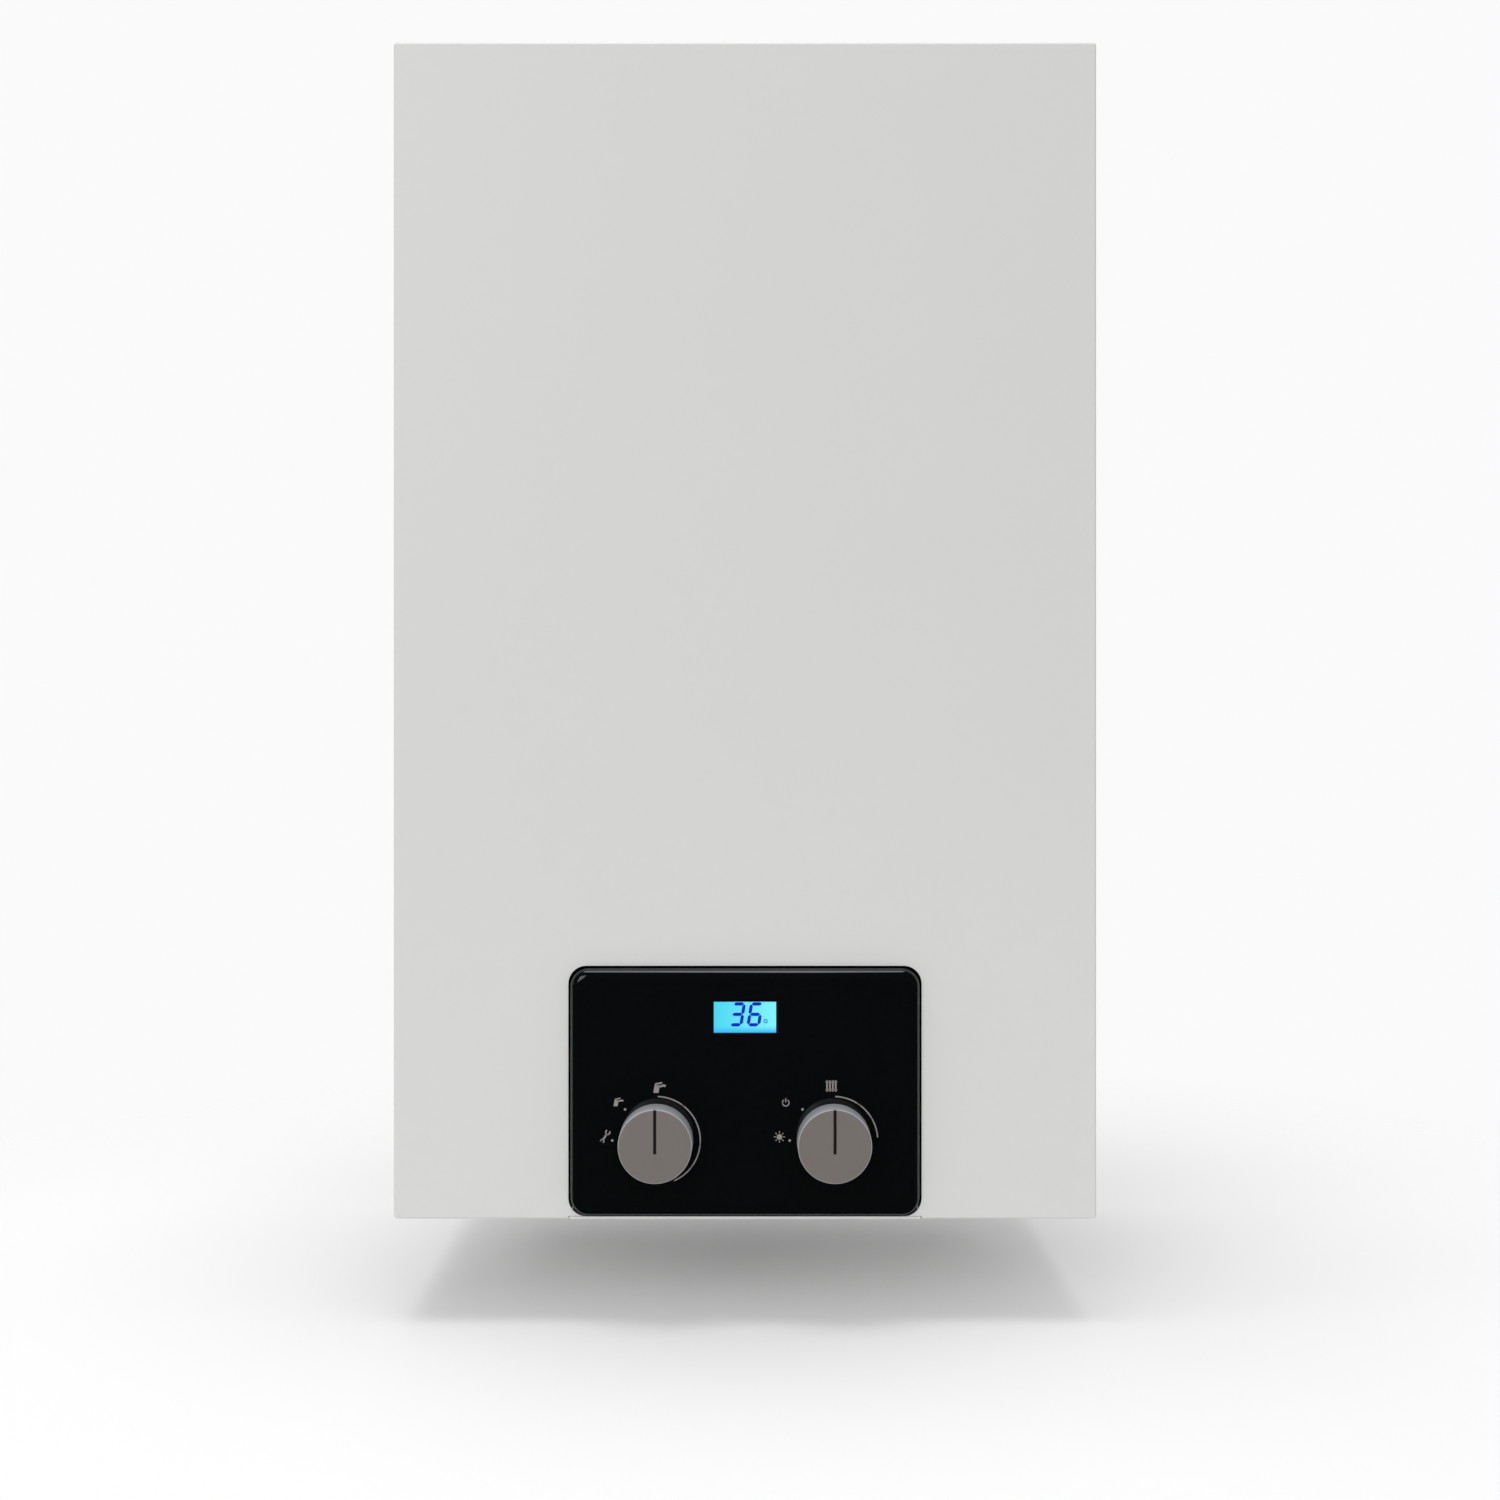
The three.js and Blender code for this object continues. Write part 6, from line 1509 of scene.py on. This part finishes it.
    def printed_symbols(self) -> None:
        """The grey print: scale arcs, dots, and plain signs, each set out from its knob's axis."""
        marks = FlatPrint(self.front)
        for centre, end in zip(self.knob_places.values(), self.scale_ends):
            marks.arc(centre, self.scale_radius, self.scale_start, end, self.scale_width)
            for angle in self.dot_angles:
                marks.disc(around(centre, self.scale_radius, angle), self.dot_radius)
        left, right = self.knob_places[Body.HOT_WATER], self.knob_places[Body.HEATING]
        self.tap(marks, (left[0] + 1.8, left[1] + 32.2), 1.0)
        self.tap(marks, (left[0] - 23.2, left[1] + 23.4), 0.78)
        self.spanner(marks, (left[0] - 31.0, left[1] + 2.6))
        self.radiator(marks, (right[0] - 1.4, right[1] + 33.2))
        self.standby(marks, (right[0] - 29.2, right[1] + 23.0))
        self.sun(marks, (right[0] - 33.0, right[1] + 2.2))
        self.add(marks.piece("printed_symbols"), PRINT_INK, Body.PANEL)

    def tap(self, marks: FlatPrint, centre: Flat, scale: float) -> None:
        """A mixer tap seen from its side: its body, its spout and the lever on top.

        Args:
            marks: the print that it is added to.
            centre: the sign's middle.
            scale: its size against the large one.
        """
        def at(*outline: Flat) -> list[Flat]:
            """The sign's points in their place."""
            return [(centre[0] + x * scale, centre[1] + z * scale) for x, z in outline]

        marks.area(at((-3.6, -3.2), (-0.4, -3.2), (0.1, 0.0), (0.1, 1.5), (-2.8, 1.5)))
        marks.stroke(at((-0.4, 0.6), (2.6, 1.3), (4.0, 0.9)), 1.3 * scale)
        marks.stroke(at((-2.6, 2.1), (1.8, 3.0)), 0.9 * scale)

    def spanner(self, marks: FlatPrint, centre: Flat) -> None:
        """An open spanner that leans to the right."""
        x, z = centre
        marks.stroke([(x - 1.3, z - 2.0), (x + 0.9, z + 1.4)], 1.0)
        marks.arc((x + 1.5, z + 2.4), 1.3, 60, 340, 0.8, 14)
        marks.arc((x - 1.8, z - 2.9), 1.0, -100, 160, 0.7, 14)

    def radiator(self, marks: FlatPrint, centre: Flat, columns: int = 4, pitch: float = 1.75) -> None:
        """A radiator of upright columns between two headers.

        Args:
            marks: the print that it is added to.
            centre: the sign's middle.
            columns: how many it has.
            pitch: from one to the next.
        """
        x, z = centre
        for column in range(columns):
            across = x + (column - (columns - 1) / 2) * pitch
            marks.stroke([(across, z - 3.4), (across, z + 3.4)], 1.0)
        for height in (-2.3, 2.3):
            marks.stroke([(x - 3.6, z + height), (x + 3.6, z + height)], 0.6)

    def standby(self, marks: FlatPrint, centre: Flat) -> None:
        """An open ring with a bar in its gap."""
        marks.arc(centre, 2.0, 35, 325, 0.6, 28)
        marks.stroke([(centre[0], centre[1] + 0.3), (centre[0], centre[1] + 2.7)], 0.6)

    def sun(self, marks: FlatPrint, centre: Flat, rays: int = 8) -> None:
        """A disc with rays round it."""
        marks.disc(centre, 1.7)
        for ray in range(rays):
            marks.stroke([around(centre, radius, 360 / rays * ray) for radius in (2.3, 3.4)], 0.55)

    def display(self) -> None:
        """The two lit digits and their degree ring, on the face of the display."""
        low, high = corners("display_window")
        marks = FlatPrint(corners("display_module")[0].y, proud=0.05, sunk=0.1)
        bottom = high.z - self.digit_margin - self.digit_height
        for left, bars in zip(self.digit_lefts, (THREE, SIX)):
            for bar in bars:
                self.bar(marks, low.x + left, bottom, bar)
        ring = (low.x + self.degree_place[0], bottom + self.degree_place[1])
        marks.arc(ring, self.degree_radius, 0, 360, self.degree_width, 24)
        self.add(marks.piece("display_digits"), DIGIT_INK, Body.PANEL)

    def bar(self, marks: FlatPrint, left: float, bottom: float, bar: Segment) -> None:
        """One bar of a digit, pointed at both ends and leaning with it.

        Args:
            marks: the print that it is added to.
            left: the digit's left edge at its foot.
            bottom: the digit's foot.
            bar: which bar it is.
        """
        ends = [Vector((x * self.digit_width, y * self.digit_height)) for x, y in bar.value]
        along = (ends[1] - ends[0]).normalized()
        across = Vector((-along.y, along.x)) * self.digit_bar / 2
        near, far = ends[0] + along * self.digit_joint, ends[1] - along * self.digit_joint
        tip = along * self.digit_bar / 2
        outline = [near, near + tip - across, far - tip - across,
                   far, far - tip + across, near + tip + across]
        marks.area([(left + p.x + p.y * self.digit_slant, bottom + p.y) for p in outline])

    def box_back(self) -> None:
        """Stiffening ribs on the rear of the control box, and the screws of its corners."""
        low, high = corners("control_box")
        foot, head = low.z + self.box_screw_foot, high.z - self.box_screw_head
        ribs = FlatPrint(high.y, proud=0.3, sunk=1.0)
        for rib in range(self.rib_count):
            x = (rib - (self.rib_count - 1) / 2) * self.rib_pitch
            ribs.stroke([(x, foot + self.rib_end), (x, head - self.rib_end)], self.rib_width)
        side = high.x - self.box_screw_inset
        places = [(x, high.y, z) for x in (-side, side) for z in (foot, head)]
        self.fasten("box_screws", BOX_SCREW, places, BACKWARDS, Body.PANEL)
        self.add(ribs.piece("box_ribs"), DARK_PLASTIC, Body.PANEL)

    def light_display(self) -> None:
        """A backlit liquid crystal behind a clear acrylic pane."""
        glow = bpy.data.materials.new("backlit_liquid_crystal")
        tree = empty_tree(glow)
        low, high = (Vector(corner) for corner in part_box("display_window"))
        coordinates = add_node(tree, "ShaderNodeTexCoord")
        split = add_node(tree, "ShaderNodeSeparateXYZ", links={"Vector": coordinates.outputs["Object"]})
        across = add_node(tree, "ShaderNodeMapRange", {"From Min": low.x, "From Max": high.x},
                          {"Value": split.outputs["X"]})
        upwards = add_node(tree, "ShaderNodeMapRange", {
            "From Min": low.z, "From Max": low.z + self.glow_band * MM,
        }, {"Value": split.outputs["Z"]})
        row = add_node(tree, "ShaderNodeMix", {
            "data_type": "RGBA", 6: linear("#4bd7f3"), 7: linear("#80f3fa"),
        }, {0: across.outputs["Result"]})
        whole = add_node(tree, "ShaderNodeMix", {"data_type": "RGBA", 6: linear("#39bcff")},
                         {0: upwards.outputs["Result"], 7: row.outputs[2]})
        shader = add_node(tree, "ShaderNodeBsdfPrincipled", {
            "Base Color": linear("#0a2a30"), "Roughness": 0.4, "Emission Strength": self.glow_strength,
        }, {"Emission Color": whole.outputs[2]})
        add_node(tree, "ShaderNodeOutputMaterial", links={"Surface": shader.outputs["BSDF"]})
        pane = bpy.data.materials.new("clear_acrylic")
        tree = empty_tree(pane)
        clear = add_node(tree, "ShaderNodeBsdfPrincipled", {
            "Base Color": (1, 1, 1, 1), "Roughness": 0.02, "IOR": 1.49, "Transmission Weight": 1.0,
        })
        add_node(tree, "ShaderNodeOutputMaterial", links={"Surface": clear.outputs["BSDF"]})
        for node, material in (("display_module", glow), ("display_window", pane)):
            for slot in self.frame["nodes"][node].material_slots:
                slot.material = material


# ---------------------------------------------------------------------------------------------
# Burner and water parts
# ---------------------------------------------------------------------------------------------


@dataclass
class BurnerGroup(Group):
    """Nuts, screws and fins of the burner, the fan and the gas valve. Sizes are in millimetres."""

    door_nuts: int = 8
    door_circle: float = 78.0
    fan_screws: int = 6
    fan_circle: float = 49.0
    fins: int = 36
    fin_circle: float = 36.2
    fin_size: Point = (1.6, 1.2, 14.0)
    fin_set_back: float = 2.0
    valve_face: float = -245.0
    valve_columns: Flat = (7.0, 53.0)
    valve_rows: Flat = (15.0, 77.0)

    def build(self) -> None:
        """Makes the group's pieces."""
        low, high = corners("burner_door")
        turn = 180 / self.door_nuts
        nuts = self.circle((low + high) / 2, self.door_circle, self.door_nuts, low.y, turn)
        self.fasten("door_nuts", DOOR_NUT, nuts, FORWARDS)
        low, high = corners("fan_motor")
        centre, seat = (low + high) / 2, corners("fan_housing")[0].y
        screws = self.circle(centre, self.fan_circle, self.fan_screws, seat)
        self.fasten("fan_screws", FAN_SCREW, screws, FORWARDS)
        self.cool("fan_motor_fins", DARK_PLASTIC, self.fins, self.fin_circle, self.fin_size,
                  (centre.x, centre.y + self.fin_set_back, centre.z))
        low, _ = corners("gas_valve")
        places = [(low.x + x, self.valve_face, low.z + z)
                  for x in self.valve_columns for z in self.valve_rows]
        self.fasten("gas_valve_screws", VALVE_SCREW, places, FORWARDS)

    def circle(self, centre: Vector, radius: float, count: int, y: float, turn: float = 0.0) -> list[Point]:
        """Points round an axis along Y.

        Args:
            centre: a point on the axis.
            radius: how far from it they are.
            count: how many there are.
            y: the plane that they are in.
            turn: the first one's angle from the top, in degrees.

        Returns:
            The points, clockwise from the front.
        """
        flat = [around((centre.x, centre.z), radius, turn + 360 * i / count) for i in range(count)]
        return [(x, y, z) for x, z in flat]


@dataclass
class HydraulicGroup(Group):
    """The plate exchanger, union nuts and pump fins. Sizes are in millimetres."""

    plates: int = 22
    plate_thickness: float = 1.5
    plate_corner: float = 14.0
    core_inset: float = 2.5
    core_end: float = 0.4
    pipe_nuts: tuple[Point, ...] = ((-80.0, -167.3, -286.0), (-10.0, -167.3, -286.0))
    stub_nuts: tuple[Point, ...] = ((-65.0, -100.0, -574.0), (65.0, -100.0, -574.0))
    fins: int = 40
    fin_size: Point = (2.4, 1.4, 52.0)
    fin_rise: float = 0.3

    def build(self) -> None:
        """Makes the group's pieces."""
        self.plate_exchanger()
        self.fasten("exchanger_nuts", UNION_NUT, self.pipe_nuts, DOWN)
        self.fasten("water_nuts", WATER_NUT, self.stub_nuts, DOWN)
        low, high = corners("pump_motor")
        radius = (high.x - low.x) / 2
        centre = ((low.x + high.x) / 2, (low.y + high.y) / 2, low.z + radius)
        self.cool("pump_motor_fins", CAST_ALUMINIUM, self.fins, radius + self.fin_rise, self.fin_size, centre)

    def plate_exchanger(self) -> None:
        """The brazed stack, one plate above the other."""
        low, high = corners("plate_heat_exchanger")
        middle, size, inset = (low + high) / 2, high - low, self.core_inset
        pitch = (size.z - self.plate_thickness) / (self.plates - 1)
        stack = self.patterns.stack.grow(
            "exchanger_plates", blank_carrier(), STAINLESS, Count=self.plates,
            Start=tuple(metres(middle.x, middle.y, low.z)), Step=tuple(metres(0, 0, pitch)),
            Width=size.x * MM, Depth=size.y * MM, Corner=self.plate_corner * MM,
            Thickness=self.plate_thickness * MM,
        )
        outline = rounded_rectangle(size.x - 2 * inset, size.y - 2 * inset, self.plate_corner - inset)
        core = lofted("exchanger_core", [
            [metres(middle.x + x, middle.y + y, z) for x, y in outline]
            for z in (low.z + self.core_end, high.z - self.core_end)
        ])
        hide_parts("plate_heat_exchanger")
        self.add(stack, STAINLESS)
        self.add(core, COPPER)


# ---------------------------------------------------------------------------------------------
# Studio
# ---------------------------------------------------------------------------------------------


@dataclass(frozen=True)
class Softbox:
    """A square area light. Sizes are in metres.

    Attributes:
        name: the light's name.
        place: where it hangs.
        side: its side.
        power: its power in watts.
    """

    name: str
    place: Point
    side: float
    power: float

    def hang(self, aim: Vector) -> None:
        """Hangs the light.

        Args:
            aim: the point that it faces.
        """
        data = bpy.data.lights.new(self.name, "AREA")
        data.size = self.side
        data.energy = self.power
        light = bpy.data.objects.new(self.name, data)
        light.location = self.place
        light.rotation_euler = (aim - Vector(self.place)).to_track_quat("-Z", "Y").to_euler()
        bpy.context.scene.collection.objects.link(light)


@dataclass
class Studio:
    """The camera, the pale floor and the soft light. Sizes are in metres.

    Attributes:
        camera_place: where the photograph was taken from.
        view_width: width of the photograph's frame at the plane of the cover.
        cover_distance: from the camera to that plane.
        sensor: the camera's width in millimetres.
        floor_drop: from the part's origin to the floor.
        floor_fade: distances from under the boiler at which the floor starts and ends to fade.
        floor_centre: the point under the boiler, behind which the wall would be.
        ambient: how strongly the room lights matt surfaces.
        reflected: how bright the room is in glossy ones.
        floor_glow: the share of the background's tone in the floor, as the camera sees it.
    """

    camera_place: Point = (0.00306, -1.510, -0.3731)
    view_width: float = 0.9176
    cover_distance: float = 1.2
    sensor: float = 36.0
    floor_drop: float = 0.725
    floor_size: float = 8.0
    floor_fade: Flat = (0.45, 0.95)
    floor_centre: Flat = (0.0, -0.16)
    floor_tone: str = "#f4f4f4"
    floor_in_gloss: float = 0.02
    background: str = "#fafafa"
    ambient: float = 0.69
    reflected: float = 0.03
    floor_glow: float = 0.11
    aim: Point = (0.0, -0.15, -0.35)
    softboxes: tuple[Softbox, ...] = (
        Softbox("key", (-2.4, -5.0, 1.4), 2.6, 60.0),
        Softbox("overhead", (-0.2, -0.5, 3.2), 2.2, 62.0),
    )

    def camera(self) -> None:
        """Sets the camera up level, square to the front."""
        data = bpy.data.cameras.new("camera")
        data.sensor_width = self.sensor
        data.lens = self.sensor * self.cover_distance / self.view_width
        camera = bpy.data.objects.new("camera", data)
        camera.location = self.camera_place
        camera.rotation_euler = (math.pi / 2, 0, 0)
        bpy.context.scene.collection.objects.link(camera)
        bpy.context.scene.camera = camera

    def build(self) -> None:
        """Lays the floor and hangs the lights."""
        bpy.context.scene.view_settings.view_transform = "Standard"
        self.floor()
        self.surroundings()
        for softbox in self.softboxes:
            softbox.hang(Vector(self.aim))

    def floor(self) -> None:
        """A pale floor that fades into the background away from the boiler."""
        half, height = self.floor_size / 2, -self.floor_drop
        mesh = bpy.data.meshes.new("floor")
        points = [(-half, -half, height), (half, -half, height), (half, half, height), (-half, half, height)]
        mesh.from_pydata(points, [], [(0, 1, 2, 3)])
        floor = new_object("floor", mesh)
        material = bpy.data.materials.new("studio_floor")
        tree = empty_tree(material)
        coordinates = add_node(tree, "ShaderNodeTexCoord")
        x, y = self.floor_centre
        centred = add_node(tree, "ShaderNodeMapping", {"Location": (-x, -y, self.floor_drop)},
                           {"Vector": coordinates.outputs["Object"]})
        distance = add_node(tree, "ShaderNodeVectorMath", {"operation": "LENGTH"},
                            {0: centred.outputs["Vector"]})
        fade = add_node(tree, "ShaderNodeMapRange", {
            "From Min": self.floor_fade[0], "From Max": self.floor_fade[1],
            "interpolation_type": "SMOOTHSTEP",
        }, {"Value": distance.outputs["Value"]})
        pale = add_node(tree, "ShaderNodeBsdfDiffuse", {"Color": linear(self.floor_tone)})
        dark = add_node(tree, "ShaderNodeBsdfDiffuse", {"Color": (*[self.floor_in_gloss] * 3, 1)})
        clear = add_node(tree, "ShaderNodeBsdfTransparent")
        seen = add_node(tree, "ShaderNodeMixShader", links={
            0: fade.outputs["Result"], 1: pale.outputs["BSDF"], 2: clear.outputs["BSDF"],
        })
        path = add_node(tree, "ShaderNodeLightPath")
        matt = add_node(tree, "ShaderNodeMixShader", links={
            0: path.outputs["Is Glossy Ray"], 1: seen.outputs["Shader"], 2: dark.outputs["BSDF"],
        })
        glow = add_node(tree, "ShaderNodeEmission", {"Color": linear(self.background)})
        share = add_node(tree, "ShaderNodeMath", {"operation": "MULTIPLY", 1: self.floor_glow},
                         {0: path.outputs["Is Camera Ray"]})
        whole = add_node(tree, "ShaderNodeMixShader", links={
            0: share.outputs["Value"], 1: matt.outputs["Shader"], 2: glow.outputs["Emission"],
        })
        add_node(tree, "ShaderNodeOutputMaterial", links={"Surface": whole.outputs["Shader"]})
        mesh.materials.append(material)

    def surroundings(self) -> None:
        """An even pale background, and a dimmer room for what the surfaces see."""
        world = bpy.data.worlds.new("studio")
        tree = empty_tree(world)
        bpy.context.scene.world = world
        path = add_node(tree, "ShaderNodeLightPath")

        def room(colour: Sequence[float], strength: float) -> bpy.types.NodeSocket:
            """An even light from all sides."""
            node = add_node(tree, "ShaderNodeBackground", {"Color": colour, "Strength": strength})
            return node.outputs["Background"]

        lit = add_node(tree, "ShaderNodeMixShader", links={
            0: path.outputs["Is Glossy Ray"], 1: room((1, 1, 1, 1), self.ambient),
            2: room((1, 1, 1, 1), self.reflected),
        })
        whole = add_node(tree, "ShaderNodeMixShader", links={
            0: path.outputs["Is Camera Ray"], 1: lit.outputs["Shader"], 2: room(linear(self.background), 1.0),
        })
        add_node(tree, "ShaderNodeOutputWorld", links={"Surface": whole.outputs["Shader"]})


def main() -> None:
    """Loads the frame and builds the camera, the pieces and the studio in order."""
    logging.basicConfig(level=logging.INFO, format="%(message)s")
    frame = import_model()
    studio = Studio()
    studio.camera()
    patterns = Patterns()
    PackedSolids(frame).dress()
    groups = (Casing(patterns), ControlPanel(patterns, frame), BurnerGroup(patterns),
              HydraulicGroup(patterns))
    for group in groups:
        group.build()
        group.dress()
        LOG.info("%s: %d pieces", type(group).__name__, len(group.pieces))
    studio.build()


if __name__ == "__main__":
    main()
